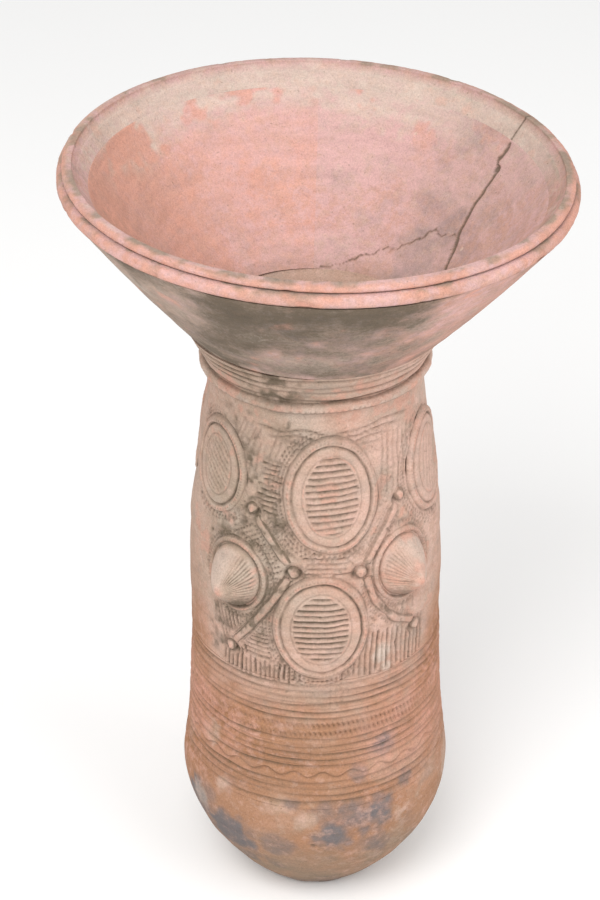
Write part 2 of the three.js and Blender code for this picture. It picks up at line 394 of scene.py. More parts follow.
def comb_strokes(u, height, points):
    """Depth from 0 to 1 of all the comb strokes of a panel, u across it."""
    wander = 0.5 * grain(points, 14, 31, 2)
    cut = np.zeros(u.shape)
    for number, patch in enumerate(COMBED):
        x, y = u - patch.across, height - patch.height
        near = np.hypot(x, y) < patch.half_along + patch.half_over + 8
        if not near.any():
            continue
        c, s = math.cos(patch.slope), math.sin(patch.slope)
        along = x[near] * c + y[near] * s
        over = -x[near] * s + y[near] * c
        depth, tooth = comb_teeth(over, patch.pitch, wander[near])
        ragged = 4 * chance(tooth + 40, 50 + number) - 1.5
        shift = 4 * chance(tooth + 9, 80 + number) - 2
        ends = ease(patch.half_along - ragged - np.abs(along + shift), -0.6, 1.6)
        sides = ease(patch.half_over - np.abs(over), -0.8, 1.2)
        beads = 1 - patch.dotted * (0.5 + 0.5 * np.cos(along * 2 * math.pi / 2.6))
        depth = depth * ends * sides * beads * patch.deep
        depth = depth * (0.65 + 0.5 * chance(tooth + 3, 20 + number))
        cut[near] = np.maximum(cut[near], depth)
    return cut


def wavy_lines(u, height):
    """Long comb lines that wave round the shoulder, under the neck coil."""
    cut = np.zeros(u.shape)
    for k in range(4):
        level = 358.5 - 3.9 * k - 1.8 * np.sin(u / 11.0 + 0.6 * k) * ease(u, -30, 10)
        level = level - 0.9 * np.sin(u / 5.0 + k) * (1 - ease(u, 20, 45))
        reach = ease(u, -46 + 9 * k, -36 + 9 * k) * (1 - ease(u, 66 - 8 * k, 76 - 8 * k))
        cut = np.maximum(cut, hill(height - level, 0.8) * reach * 0.75)
    return cut


def panel_relief(azimuth, height, points):
    """How far in or out of the plain wall the pressed ornament's surroundings lie, and their dirt, with
    painted shade under the pellets.
    """
    lift = np.zeros(azimuth.shape)
    soil = np.zeros(azimuth.shape)
    for panel, turn in PANELS:
        u = wrap(azimuth - turn) * 75
        here = (np.abs(u) < 100) & (height > 160) & (height < 376)
        if not here.any():
            continue
        a, z, uu, p = azimuth[here], height[here], u[here], points[here]
        caked = grain(p, 13, 33)
        crumbs = grain(p, 3.6, 34, 2)
        sunk, dirt = np.zeros(a.shape), np.zeros(a.shape)
        clear = np.full(a.shape, 60.0)
        for name in MEDALLIONS + CONES:
            place = PLACES[panel + name]
            x, y = place.local(a, z)
            out = -inside_oval(x, y, place.half_wide, place.half_high)
            clear = np.minimum(clear, out)
            angle = np.arctan2(y, x)
            arc = angle * (place.half_wide + place.half_high) / 2
            trench = hill(out - 0.6, 1.0) * ease(caked, -0.9, 0.5)
            sunk += 0.9 * trench
            dirt = np.maximum(dirt, trench)
            if name in CONES:
                inner = -1 if place.middle > 0 else 1
                second = hill(out - 4.3, 1.0) * ease(x * inner, -20, 0)
                sunk += 0.7 * second
                dirt = np.maximum(dirt, 0.7 * second)
                rows = dots(arc, out - 2.7, 2.6, 0.85)
            else:
                facing = ease(-x - 0.4 * y, -26, 4)
                rows = dots(arc, out - 3.0, 2.4, 0.8) * facing
                rows += dots(arc + 1.2, out - 5.4, 2.5, 0.75) * facing
                rows += dots(arc, out - 7.8, 2.6, 0.75) * ease(-x - 0.2 * y, 4, 22)
                sunk -= 0.45 * hill(out - 4.2, 0.6) * facing
            sunk += 1.1 * rows
            dirt = np.maximum(dirt, 0.9 * rows)
        for name in PELLETS:
            place = PLACES[panel + name]
            x, y = place.local(a, z)
            out = -inside_oval(x, y, place.half_wide, place.half_high)
            ring = hill(out - 0.3, 1.5)
            sunk += 1.0 * ring
            # Dark only on the lower side of the ring round each pellet: painted shade under the pellet.
            dirt = np.maximum(dirt, 0.9 * ring * ease(-y + 3, -2, 3))
            for side in (-1, 1):
                pit = hill(np.hypot(x - side * place.half_wide * 1.2, y + 2.0), 2.2)
                sunk += 2.0 * pit
                dirt = np.maximum(dirt, pit)
            clear = np.minimum(clear, out)
        for name in RIDGES:
            line, radius, _ = SPINES[panel + name]
            off, where, length = distance_to_line(wrap(a - turn) * radius, z, line)
            gap = np.abs(off)
            both = ease(where, 1, 5) * (1 - ease(where, length - 5, length - 1))
            trench = hill(gap - 3.3, 0.8) * both
            sunk += 0.6 * trench
            dirt = np.maximum(dirt, 0.7 * trench)
            rows = dots(where, gap - 5.0, 2.4, 0.8) * both
            sunk += 0.9 * rows
            dirt = np.maximum(dirt, 0.9 * rows)
            clear = np.minimum(clear, gap - 4.2)
        room = ease(clear, 0.8, 2.2)
        combed = comb_strokes(uu, z, p) * room
        combed = np.maximum(combed, wavy_lines(uu, z) * ease(clear, 1.0, 2.5))
        sunk += combed * settings().comb_depth * 1000
        dirt = np.maximum(dirt, combed)
        busy = ease(z, 186, 200) * (1 - ease(z, 360, 374)) * (1 - ease(np.abs(uu), 62, 84))
        nearby = hill(np.maximum(clear, 0), 14)
        cake = busy * ease(caked + 0.5 * crumbs + 0.7 * nearby - 0.012 * uu, 0.75, 1.5)
        sunk += busy * 0.36 * crumbs - 0.5 * cake * (0.6 + 0.8 * crumbs)
        dirt = np.maximum(dirt, cake * (0.34 + 0.5 * crumbs))
        lift[here] -= sunk
        soil[here] = np.maximum(soil[here], dirt)
    return lift, soil


# ---------------------------------------------------------------- colour of the clay


def stains(azimuth, height, blotches, ragged):
    """Soft-edged patches round the wall: each is degrees round, height, size and strength."""
    shade = np.zeros(azimuth.shape)
    for degrees, level, size, strength in blotches:
        x = wrap(azimuth - math.radians(degrees)) * 78
        reach = np.hypot(x, height - level) / size + 0.45 * ragged
        shade = np.maximum(shade, strength * (1 - ease(reach, 0.35, 1.25)))
    return shade


# Degrees round from the front, height, size and strength.
FIRE_CLOUDS = (
    (31, 133, 11, 0.8),
    (20, 119, 8, 0.7),
    (6, 74, 12, 0.95),
    (27, 86, 14, 0.9),
    (16, 90, 12, 0.6),
    (3, 92, 10, 0.42),
    (-18, 62, 12, 0.5),
    (30, 62, 11, 0.5),
    (-44, 60, 20, 1.0),
    (-62, 70, 16, 0.9),
    (-12, 98, 7, 0.5),
    (44, 104, 7, 0.6),
    (150, 110, 30, 0.8),
    (-128, 82, 26, 0.8),
)
PALE_PATCHES = (
    (-57, 128, 9, 0.42),
    (-44, 97, 7, 0.5),
    (-60, 76, 9, 0.45),
    (32, 203, 6, 1.0),
    (34, 193, 4, 0.8),
    (118, 150, 12, 0.6),
    (-150, 215, 10, 0.7),
)


def wall_marks(azimuth, height, points, soil=None):
    """The clay's marks on the standing wall: dirt, wear, grey, pale, orange and fire clouds, with painted
    shade darkening and greying the foot.
    """
    patch = grain(points, 46, 11)
    small = grain(points, 15, 12)
    tiny = grain(points, 5, 13, 2)
    side = ease(np.abs(np.sin(azimuth)), 0.78, 0.97)
    turned = np.degrees(wrap(azimuth))
    left = ease(-turned, -22, 30) * (1 - ease(-turned, 80, 112))
    left = np.maximum(left, ease(turned, 120, 160) * (1 - ease(turned, 175, 180)) * 0.8)
    orange = 1 - ease(height - 45 * side + 12 * patch + 10 * small, 136, 224)
    orange = np.clip(orange * 0.98 + 0.10 + 0.20 * patch + 0.12 * tiny, 0, 1)
    grey = left * ease(height, 188, 240) * (0.85 + 0.25 * patch + 0.15 * tiny)
    grimy = ease(height + 8 * small, 372, 384) * (1 - ease(turned, 0, 50))
    grey = np.maximum(grey, 0.75 * grimy)
    grey = np.maximum(grey, 0.34 + 0.30 * small - 0.40 * ease(turned, 5, 50))
    grey = grey * (1 - 0.45 * side) * (0.25 + 0.75 * ease(height, 170, 230))
    pale = stains(azimuth, height, PALE_PATCHES, small + 0.5 * tiny)
    bloom = ease(patch + 0.4 * small + 0.2 * tiny, 0.2, 0.9) * ease(height, 200, 260)
    pale = np.maximum(pale, 0.42 * bloom)
    dusted = 0.18 * ease(small + 0.6 * tiny, 0.3, 1.0) * ease(height, 60, 110)
    pale = np.maximum(pale, dusted * (1 - ease(height, 96, 130)))
    beige = ease(0.5 * small - patch + 0.2 * tiny, -0.1, 0.9) * hill(height - 74, 26)
    pale = np.maximum(pale, 0.5 * beige)
    # Darker, greyer and dirtier towards the foot: painted shade where the base turns under, with some dirt.
    foot_shade_and_dirt = (1 - ease(height + 16 * patch, 34, 96)) * (0.88 + 0.4 * small)
    grey = np.maximum(grey, np.maximum(0.80 * foot_shade_and_dirt, 0.5 * ease(-patch + small, 0.1, 1.0)))
    cloud = stains(azimuth, height, FIRE_CLOUDS, small + 0.4 * tiny)
    smoke = 0.5 * ease(patch + 0.5 * small, 0.35, 1.0) * (1 - ease(height, 90, 110))
    cloud = np.maximum(cloud, smoke)
    # A dark blue-grey band along the floor: painted shadow at the foot.
    cloud = np.maximum(cloud, 0.66 * hill(height, 15) * (0.8 + 0.4 * small))
    soil = np.zeros(azimuth.shape) if soil is None else soil
    soil = np.maximum(soil * (0.74 + 0.22 * left + 0.15 * patch), 0.36 * foot_shade_and_dirt)
    caked = hill(wrap(azimuth + 0.32), 0.26) * ease(height, 374, 381)
    soil = np.maximum(soil, caked * ease(tiny + 0.6 * small, -0.5, 0.5) * 0.95)
    soil = np.clip(soil, 0, 1)
    wear = 0.55 * ease(small + 0.5 * tiny - 0.4 * patch, 0.45, 1.0) * (1 - soil)
    wear = wear * (0.35 + 0.65 * ease(height, 190, 240))
    red = ease(np.abs(wrap(azimuth + 0.15)), 0.1, 0.9) * hill(height - 140, 38)
    wear = np.maximum(wear, np.clip(red * (0.6 + 0.35 * small + 0.2 * tiny), 0, 1) * (1 - soil))
    return dict(soil=soil, wear=wear, grey=np.clip(grey, 0, 1), pale=pale, orange=orange, cloud=cloud)


def plain_marks(count, **given):
    """Marks that are the same everywhere but for those given."""
    marks = {name: np.zeros(count) for name in MARKS}
    marks.update(given)
    return {name: np.broadcast_to(value, (count,)) for name, value in marks.items()}


class Finish:
    """Adds the nodes of one clay and joins them up."""

    def __init__(self, name):
        self.material = bpy.data.materials.new(name)
        self.material.use_nodes = True
        self.tree = self.material.node_tree
        self.tree.nodes.clear()
        self.where = self.tree.nodes.new("ShaderNodeTexCoord").outputs["Object"]

    def put(self, socket, value):
        """Links an output, or sets a plain number or colour, on a socket."""
        if isinstance(value, bpy.types.NodeSocket):
            self.tree.links.new(value, socket)
        elif hasattr(value, "__len__"):
            socket.default_value = (*value, 1.0) if len(value) == 3 else value
        else:
            socket.default_value = value

    def noise(self, scale, detail=4.0, rough=0.55, stretch=None):
        """Cloudy noise over the clay, stretched along one axis if asked."""
        node = self.tree.nodes.new("ShaderNodeTexNoise")
        where = self.where
        if stretch:
            mapping = self.tree.nodes.new("ShaderNodeMapping")
            mapping.inputs["Scale"].default_value = stretch
            self.put(mapping.inputs["Vector"], where)
            where = mapping.outputs["Vector"]
        self.put(node.inputs["Vector"], where)
        self.put(node.inputs["Scale"], scale)
        self.put(node.inputs["Detail"], detail)
        self.put(node.inputs["Roughness"], rough)
        return node.outputs["Fac"]

    def sum(self, kind, a, b=0.0, c=0.0, clamp=False):
        """One step of arithmetic."""
        node = self.tree.nodes.new("ShaderNodeMath")
        node.operation, node.use_clamp = kind, clamp
        for socket, value in zip(node.inputs, (a, b, c)):
            self.put(socket, value)
        return node.outputs[0]

    def spread(self, value, low, high, to_low=0.0, to_high=1.0):
        """A value taken from one range to another, and held to it."""
        node = self.tree.nodes.new("ShaderNodeMapRange")
        for key, item in (("Value", value), ("From Min", low), ("From Max", high)):
            self.put(node.inputs[key], item)
        node.inputs["To Min"].default_value = to_low
        node.inputs["To Max"].default_value = to_high
        return node.outputs["Result"]

    def mark(self, name):
        """A mark that was laid on the clay piece, corner by corner."""
        node = self.tree.nodes.new("ShaderNodeAttribute")
        node.attribute_name = name
        return node.outputs["Fac"]

    def ragged(self, name, cloth, bite, soft):
        """A mark with its edges broken up by a texture."""
        pushed = self.sum("MULTIPLY_ADD", self.sum("SUBTRACT", cloth, 0.5), bite, self.mark(name))
        return self.spread(pushed, 0.5 - soft, 0.5 + soft)

    def blend(self, share, under, over, way="MIX"):
        """One colour laid over another."""
        node = self.tree.nodes.new("ShaderNodeMix")
        node.data_type, node.blend_type, node.clamp_factor = "RGBA", way, True
        self.put(node.inputs[0], share)
        self.put(node.inputs[6], under)
        self.put(node.inputs[7], over)
        return node.outputs[2]

    def bump(self, height, distance, strength, normal=None):
        """Small relief from a value."""
        node = self.tree.nodes.new("ShaderNodeBump")
        node.inputs["Distance"].default_value = distance
        node.inputs["Strength"].default_value = strength
        self.put(node.inputs["Height"], height)
        if normal is not None:
            self.put(node.inputs["Normal"], normal)
        return node.outputs["Normal"]


def fired_clay(name, pink, tan, dust, coarse, wiped):
    """An unglazed low-fired clay: pink and orange-tan, soiled, worn, dusted and fire-clouded, with the
    painted shade and painted highlights that its marks lay.
    """
    made = bpy.data.materials.get(name)
    if made:
        return made
    given = settings()
    clay = Finish(name)
    broad = clay.noise(13.0, 3.0)
    patchy = clay.noise(60.0, 6.0, 0.62)
    mottled = clay.noise(170.0, 5.0, 0.68)
    gritty = clay.noise(420.0, 4.0, 0.7)
    fine = clay.noise(1200.0, 3.0, 0.7)
    streaks = clay.noise(36.0, 5.0, 0.65, (1.0, 1.0, 6.0))
    warm = clay.sum("ADD", clay.mark("orange"), clay.spread(broad, 0.3, 0.7, -0.2, 0.2))
    warm = clay.sum("ADD", warm, clay.spread(mottled, 0.35, 0.65, -0.16, 0.16), clamp=True)
    colour = clay.blend(warm, pink, tan)
    dusty = clay.sum("MULTIPLY", clay.spread(patchy, 0.42, 0.62), clay.spread(mottled, 0.38, 0.6, 0.1, 0.6))
    dusty = clay.sum("MULTIPLY", dusty, clay.spread(warm, 0.0, 1.0, 1.0, 0.08))
    colour = clay.blend(dusty, colour, dust)
    blush = clay.sum("MULTIPLY", clay.spread(broad, 0.48, 0.66), clay.spread(mottled, 0.42, 0.6, 0.0, 0.5))
    colour = clay.blend(blush, colour, tuple(given.wear_colour))
    # Besides real marks, the grey, blue-grey, pale and dark marks also lay painted shade and painted
    # highlights.
    for mark, cloth, bite, soft, strength, over in (
        ("grey", mottled, 1.0, 0.55, 0.80, given.grey_colour),
        ("cloud", patchy, 1.3, 0.45, 0.93, given.cloud_colour),
        ("pale", mottled, 1.3, 0.45, 0.85, given.pale_colour),
        ("wear", mottled, 1.4, 0.50, 0.85, given.wear_colour),
        ("soil", gritty, 1.5, 0.45, 0.86, given.soil_colour),
    ):
        share = clay.sum("MULTIPLY", clay.ragged(mark, cloth, bite, soft), strength)
        colour = clay.blend(share, colour, tuple(over))
    colour = clay.blend(clay.spread(gritty, 0.64, 0.74, 0.0, 0.55), colour, tuple(given.soil_colour))
    speckle = clay.spread(gritty, 0.3, 0.7, 0.86, 1.12)
    light = clay.sum("MULTIPLY", clay.spread(fine, 0.3, 0.7, 0.84, 1.12), speckle)
    light = clay.sum("MULTIPLY", light, clay.spread(streaks, 0.35, 0.65, 0.93, 1.06))
    colour = clay.blend(1.0, colour, light, "MULTIPLY")
    normal = clay.bump(patchy, 0.0014 * coarse, 0.35)
    normal = clay.bump(streaks, 0.0010 * wiped, 0.40, normal)
    normal = clay.bump(mottled, 0.0014 * coarse, 0.45, normal)
    normal = clay.bump(gritty, 0.0011 * coarse, 0.60, normal)
    normal = clay.bump(fine, 0.0003, 0.45, normal)
    shader = clay.tree.nodes.new("ShaderNodeBsdfPrincipled")
    clay.put(shader.inputs["Base Color"], colour)
    clay.put(shader.inputs["Roughness"], clay.spread(patchy, 0.3, 0.7, 0.76, 0.94))
    clay.put(shader.inputs["Normal"], normal)
    shader.inputs["Specular IOR Level"].default_value = 0.2
    out = clay.tree.nodes.new("ShaderNodeOutputMaterial")
    clay.tree.links.new(shader.outputs["BSDF"], out.inputs["Surface"])
    return clay.material


def clay_for(slot):
    """The finish of each of the record's clays."""
    given = settings()
    pink, tan, rose = tuple(given.pink_colour), tuple(given.tan_colour), tuple(given.rose_colour)
    dust = tuple(given.dust_colour)
    rosy_dust = tuple((a + b) / 2 for a, b in zip(dust, rose))
    ways = {
        "base_clay": (pink, tan, dust, 1.0, 1.0),
        "body_clay": (pink, tan, dust, 1.5, 0.4),
        "mouth_clay": (rose, tan, rosy_dust, 0.6, 0.5),
        "rim_clay": (rose, tan, rosy_dust, 1.1, 0.3),
        "ornament_clay": (pink, tan, dust, 1.2, 0.2),
    }
    return fired_clay("fired_" + slot, *ways[slot])


# ---------------------------------------------------------------- making meshes


def ring_quads(rings, columns, joined):
    """Faces between neighbouring rings, and from the last ring to the first if they join."""
    row = np.arange(rings if joined else rings - 1)[:, None]
    column = np.arange(columns)[None, :]
    beside = (column + 1) % columns
    here, above = row * columns, (row + 1) % rings * columns
    quads = (here + column, here + beside, above + beside, above + column)
    return np.stack(np.broadcast_arrays(*quads), axis=-1).reshape(-1, 4)


def make_piece(name, points, quads, triangles, marks, slot, nodes):
    """A closed clay piece with its marks and finish, standing for its CAD nodes."""
    mesh = bpy.data.meshes.new(name)
    mesh.vertices.add(len(points))
    mesh.vertices.foreach_set("co", (points / 1000).astype(np.float32).ravel())
    corners = np.concatenate((quads.ravel(), triangles.ravel())).astype(np.int32)
    starts = np.concatenate(
        (np.arange(len(quads)) * 4, len(quads) * 4 + np.arange(len(triangles)) * 3)
    ).astype(np.int32)
    mesh.loops.add(len(corners))
    mesh.loops.foreach_set("vertex_index", corners)
    mesh.polygons.add(len(starts))
    mesh.polygons.foreach_set("loop_start", starts)
    mesh.polygons.foreach_set("use_smooth", np.ones(len(starts), bool))
    mesh.update(calc_edges=True)
    for mark in MARKS:
        layer = mesh.attributes.new(mark, "FLOAT", "POINT")
        layer.data.foreach_set("value", np.clip(marks[mark], 0, 1).astype(np.float32))
    mesh.set_sharp_from_angle(angle=math.radians(72))
    mesh.materials.append(clay_for(slot))
    piece = bpy.data.objects.new(name, mesh)
    bpy.context.scene.collection.objects.link(piece)
    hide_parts(*nodes)
    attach(piece, "root")
    return piece


def no_triangles():
    """For a piece whose faces are all four-sided."""
    return np.zeros((0, 3), int)


def merged_marks(*parts):
    """Marks of several runs of points, one after another."""
    return {name: np.concatenate([np.ravel(part[name]) for part in parts]) for name in MARKS}


def azimuths_round(fine, coarse):
    """Azimuths round the drum, closest over the front panel and widest at the plain sides."""
    panel = math.radians(70)
    front = np.linspace(-panel, panel, int(140 / fine), endpoint=False)
    right = np.linspace(panel, math.pi - panel, int(40 / coarse), endpoint=False)
    back = np.linspace(-panel, panel, int(75 / fine), endpoint=False) + math.pi
    return np.concatenate((front, right, back, right + math.pi))


# Swellings at the barrel's sides: left -1 or right 1, height, reach, how proud and how narrow.
SWELLINGS = (
    (-1, 272, 15, 1.7, 0.80),
    (1, 276, 16, 1.3, 0.80),
    (-1, 318, 14, 0.9, 0.85),
    (-1, 298, 8, -0.9, 0.85),
)


def hand_made(azimuth, height, points):
    """Slow unevenness of a wall raised by hand, and its few larger swellings."""
    amount = settings().unevenness * 1000
    uneven = amount * (0.7 * grain(points, 60, 5) + 0.3 * grain(points, 18, 6, 2))
    swell = 0.0
    for side, level, reach, proud, narrow in SWELLINGS:
        swell = swell + proud * hill(height - level, reach) * ease(side * np.sin(azimuth), narrow, 1.0)
    return uneven + swell


def outer_wall(azimuth, height, relief):
    """Points on the outer wall, with its unevenness and its own relief."""
    azimuth, height = np.broadcast_arrays(azimuth, height)
    azimuth, height = azimuth.ravel(), height.ravel()
    radius = WALL(height)
    plain = around_axis(radius, azimuth, height)
    lift, soil = relief(azimuth, height, plain)
    reach = radius + lift + hand_made(azimuth, height, plain) * ease(height, 6, 30)
    return around_axis(reach, azimuth, height), wall_marks(azimuth, height, plain, soil)


def inner_wall(azimuth, levels, radii):
    """Points down the plain inside of a wall."""
    azimuth, height = np.broadcast_arrays(azimuth[None, :], levels[:, None])
    radius = np.broadcast_to(radii[:, None], azimuth.shape)
    points = around_axis(radius.ravel(), azimuth.ravel(), height.ravel())
    return points, plain_marks(len(points), grey=0.35, orange=0.3, soil=0.12)


def turned_piece(name, node, slot, azimuth, levels, relief):
    """A piece of the standing wall: relief outside, plain inside, closed over top and bottom."""
    outside, marks = outer_wall(azimuth[None, :], levels[:, None], relief)
    inside_levels, inside_radii = wall_side(*node_corners(node), False)
    down = np.linspace(levels[-1], levels[0], max(4, int((levels[-1] - levels[0]) / 8)))
    inside, inner = inner_wall(azimuth, down, np.interp(down, inside_levels, inside_radii))
    points = np.concatenate((outside, inside))
    rings = len(levels) + len(down)
    quads = ring_quads(rings, len(azimuth), True)
    return make_piece(name, points, quads, no_triangles(), merged_marks(marks, inner), slot, [node])


# ---------------------------------------------------------------- the standing pieces


def groove_rounds(height, azimuth, levels, width, seed):
    """How deep, from 0 to 1, the grooves cut round the wall at these levels are."""
    cut = np.zeros(height.shape)
    for number, level in enumerate(levels):
        turn = seed + 1.7 * number
        wander = 0.55 * np.sin(2 * azimuth + turn) + 0.35 * np.sin(5 * azimuth + 2 * turn)
        wander = wander + 0.2 * np.sin(13 * azimuth + turn)
        strong = 0.8 + 0.25 * np.sin(3 * azimuth + 3 * turn)
        cut = np.maximum(cut, hill(height - level - wander, width) * strong)
    return cut


def belt_relief(azimuth, height, points):
    """The belt's rounds of grooves, its two rows of dashes and its wavy line."""
    depth = settings().groove_depth * 1000
    cut = groove_rounds(height, azimuth, BELT_GROOVES, 1.15, 0.4)
    fine_rounds = (BELT_GROOVES[:-1] + BELT_GROOVES[1:]) / 2
    gaps = np.diff(BELT_GROOVES)
    cut = np.maximum(cut, 0.35 * groove_rounds(height, azimuth, fine_rounds[gaps < 7], 0.7, 1.9))
    wide = np.argsort(gaps)[-2:]
    plain = sorted((BELT_GROOVES[k], BELT_GROOVES[k + 1]) for k in wide)
    (wave_low, wave_high), (dash_low, dash_high) = plain
    arc = azimuth * 78
    middle = (wave_low + wave_high) / 2
    waves = middle + 1.9 * np.sin(azimuth * 26 + 0.8 * np.sin(azimuth * 3))
    fade = 0.55 + 0.45 * ease(grain(points, 24, 18, 2), -0.4, 0.3)
    cut = np.maximum(cut, 0.7 * hill(height - waves, 0.85) * fade)
    spacing = 3.1
    for share, shift in ((0.30, 0.0), (0.68, 1.4)):
        level = dash_low + (dash_high - dash_low) * share + 0.5 * np.sin(3 * azimuth + shift)
        off = height - level
        step = (arc + shift + 0.45 * off) / spacing
        dash = hill((step - np.round(step)) * spacing, 0.75) * hill(off, 2.1)
        cut = np.maximum(cut, dash * fade)
    lift, soil = panel_relief(azimuth, height, points)
    worn = 0.8 + 0.28 * grain(points, 30, 17)
    rib = 0.35 * (1 - ease(cut, 0.0, 0.3)) * hill(height - 143, 60)
    return lift + rib - depth * cut * worn, np.maximum(soil, 0.78 * cut * worn)


def base_relief(azimuth, height, points):
    """Scrapes, wiping marks and the worn foot of the base."""
    scrape = grain(points * (1, 1, 0.35), 9, 41, 2) * 0.22
    foot = hill(height, 5)
    pit = hill(np.hypot(wrap(azimuth + 0.02) * 80, height - 66), 1.8)
    chips = ease(grain(points, 8, 43, 2), 0.35, 0.8) * foot
    return scrape - 1.2 * pit - 1.1 * chips, np.maximum(0.8 * pit, 0.35 * foot * ease(scrape, 0, 0.1))


def barrel_relief(azimuth, height, points):
    """The combed and dotted ground of the two panels."""
    lift, soil = panel_relief(azimuth, height, points)
    dents = 0.25 * grain(points, 10, 19, 2)
    for degrees, level in ((-52, 292), (-56.5, 277), (128, 287), (61, 300)):
        pit = hill(np.hypot(wrap(azimuth - math.radians(degrees)) * 75, height - level), 1.5)
        lift, soil = lift - 1.2 * pit, np.maximum(soil, pit)
    return lift + dents, soil


def neck_relief(azimuth, height, points):
    """The neck's comb lines, and the soil caked over them at one side."""
    depth = settings().groove_depth * 1000
    levels = np.append(NECK_GROOVES, NECK_GROOVES.max() + np.diff(NECK_GROOVES).mean() * 0.9)
    cut = groove_rounds(height, azimuth, levels, 1.0, 2.1)
    crumbs = grain(points, 4, 35, 2)
    caked = hill(wrap(azimuth + 0.25), 0.22)
    clean = 0.75 + 0.25 * ease(np.abs(wrap(azimuth + 0.25)), 0.1, 0.4)
    return -1.15 * depth * cut * clean + 0.5 * caked * crumbs, 0.95 * cut * clean


def make_base():
    """The round-bottomed base on its flat foot, closed at the floor."""
    azimuth = azimuths_round(0.75, 1.6)
    foot_radius = float(WALL(0.0))
    inside_levels, inside_radii = wall_side(*node_corners("base_bowl"), False)
    high = span_of("base_bowl")[1]
    under = (0.35, 0.8, 0.97)
    flat = [around_axis(share * foot_radius, azimuth, 0 * azimuth) for share in under]
    levels = np.concatenate(([0.4, 1.2, 2.4], np.arange(4, high - 0.8, 1.15), [high]))
    outside, marks = outer_wall(azimuth[None, :], levels[:, None], base_relief)
    down = np.linspace(high, inside_levels[0], 18)
    inside, inner = inner_wall(azimuth, down, np.interp(down, inside_levels, inside_radii))
    under_points = np.concatenate(flat)
    bottom = plain_marks(len(under_points), orange=0.6, pale=0.2, wear=0.3)
    poles = np.array([[0, 0, 0], [0, 0, inside_levels[0]]])
    points = np.concatenate((under_points, outside, inside, poles))
    count = len(azimuth)
    total = len(under) + len(levels) + len(down)
    quads = ring_quads(total, count, False)
    turn = np.arange(count)
    first, last = total * count, (total - 1) * count
    fan_low = np.stack((np.full(count, first), (turn + 1) % count, turn), -1)
    fan_high = np.stack((np.full(count, first + 1), last + turn, last + (turn + 1) % count), -1)
    fans = np.concatenate((fan_low, fan_high))
    shade = merged_marks(bottom, marks, inner, plain_marks(2, orange=0.5))
    return make_piece("base_bowl_clay", points, quads, fans, shade, "base_clay", ["base_bowl"])


def rows_between(low, high, pitch):
    """Heights from low to high, about a pitch apart."""
    return np.linspace(low, high, max(3, int(round((high - low) / pitch)) + 1))


def make_coil():
    """The coil round the neck's foot, nicked along its lower edge with a fingernail."""
    low, high = span_of("neck_coil")
    middle, half = (low + high) / 2, (high - low) / 2
    outer = np.hypot(*node_points("neck_coil")[:, :2].T).max()
    root = float(WALL(middle))
    azimuth = np.linspace(0, 2 * math.pi, 620, endpoint=False)
    sweep = np.linspace(0, 2 * math.pi, 26, endpoint=False) - math.pi / 2
    a, t = np.meshgrid(azimuth, sweep)
    across = np.cos(t) * (outer - root) * 0.97
    up = np.sin(t) * half * 0.97
    place, spacing = a * 70, 3.4
    wander = 0.5 * np.sin(3 * a + 1) + 0.4 * np.sin(7 * a)
    nick = place / spacing + 0.5 * np.sin(place / 9) + 0.3 * np.sin(place / 4.1)
    tooth = np.round(nick)
    cut = hill((nick - tooth) * spacing, 0.7) * ease(-up, -1.2, 2.0) * ease(across, 0.2, 1.4)
    cut = cut * (0.25 + 0.75 * chance(tooth + 3, 27)) * ease(np.sin(2 * a + 2.4), -0.9, 0.3)
    flatten = 0.5 * ease(np.sin(3 * a + 0.5), 0.2, 0.9)
    radius = root + across * (0.86 - 0.12 * flatten) - 0.7 * cut
    height = np.clip(middle + up * (0.93 - 0.1 * flatten) + wander * 0.5, low, high)
    points = around_axis(radius, a, height).reshape(-1, 3)
    rough = grain(points, 6, 23, 2)
    points[:, :2] *= (1 + 0.004 * rough)[:, None]
    marks = wall_marks(a.ravel(), height.ravel(), points)
    # Darker over the coil's lower half: painted shade under the coil. The darker top edge is dirt in the
    # joint with the wall.
    under = ease(-up, 1.0, 3.6) * 0.85
    top = ease(up, 2.4, 3.9) * 0.6
    marks["soil"] = np.maximum(marks["soil"], np.maximum.reduce((under, top, 0.5 * cut)).ravel())
    crest = ease(across, 0.5 * (outer - root), outer - root).ravel()
    marks["wear"] = np.maximum(marks["wear"], 0.55 * crest * ease(rough, 0.1, 0.7))
    marks["pale"] = np.maximum(marks["pale"], 0.55 * crest * ease(-rough, 0.0, 0.6))
    marks["orange"] = marks["orange"] * 0.5
    quads = ring_quads(len(sweep), len(azimuth), True)
    return make_piece("neck_coil_clay", points, quads, no_triangles(), marks, "body_clay", ["neck_coil"])


# ---------------------------------------------------------------- the mouth

# How wide each crack is, then its turns: degrees round from the front and depth below the lip.
CRACKS = (
    (1.0, (119.5, -13), (118.8, -16), (119.5, -22), (117, -26), (116.5, -33), (115.8, -46), (113, -58),
     (107, -66), (98, -77), (94, -84)),
    (0.6, (113, -60), (120, -64), (125, -65), (131, -74), (136, -79), (149, -85), (159, -91), (177, -96)),
)
# Degrees round, depth and size of the chips inside the mouth, and of the hole on the crack.
CHIPS = ((-126, -26, 2.6), (150, -27, 1.1), (104, -62, 1.1))
HOLE = ((117.5, -26, 2.4),)


def on_funnel(radius_at, degrees, depth):
    """The point of the mouth's inside at this bearing and depth."""
    return around_axis(radius_at(depth), math.radians(degrees), depth)


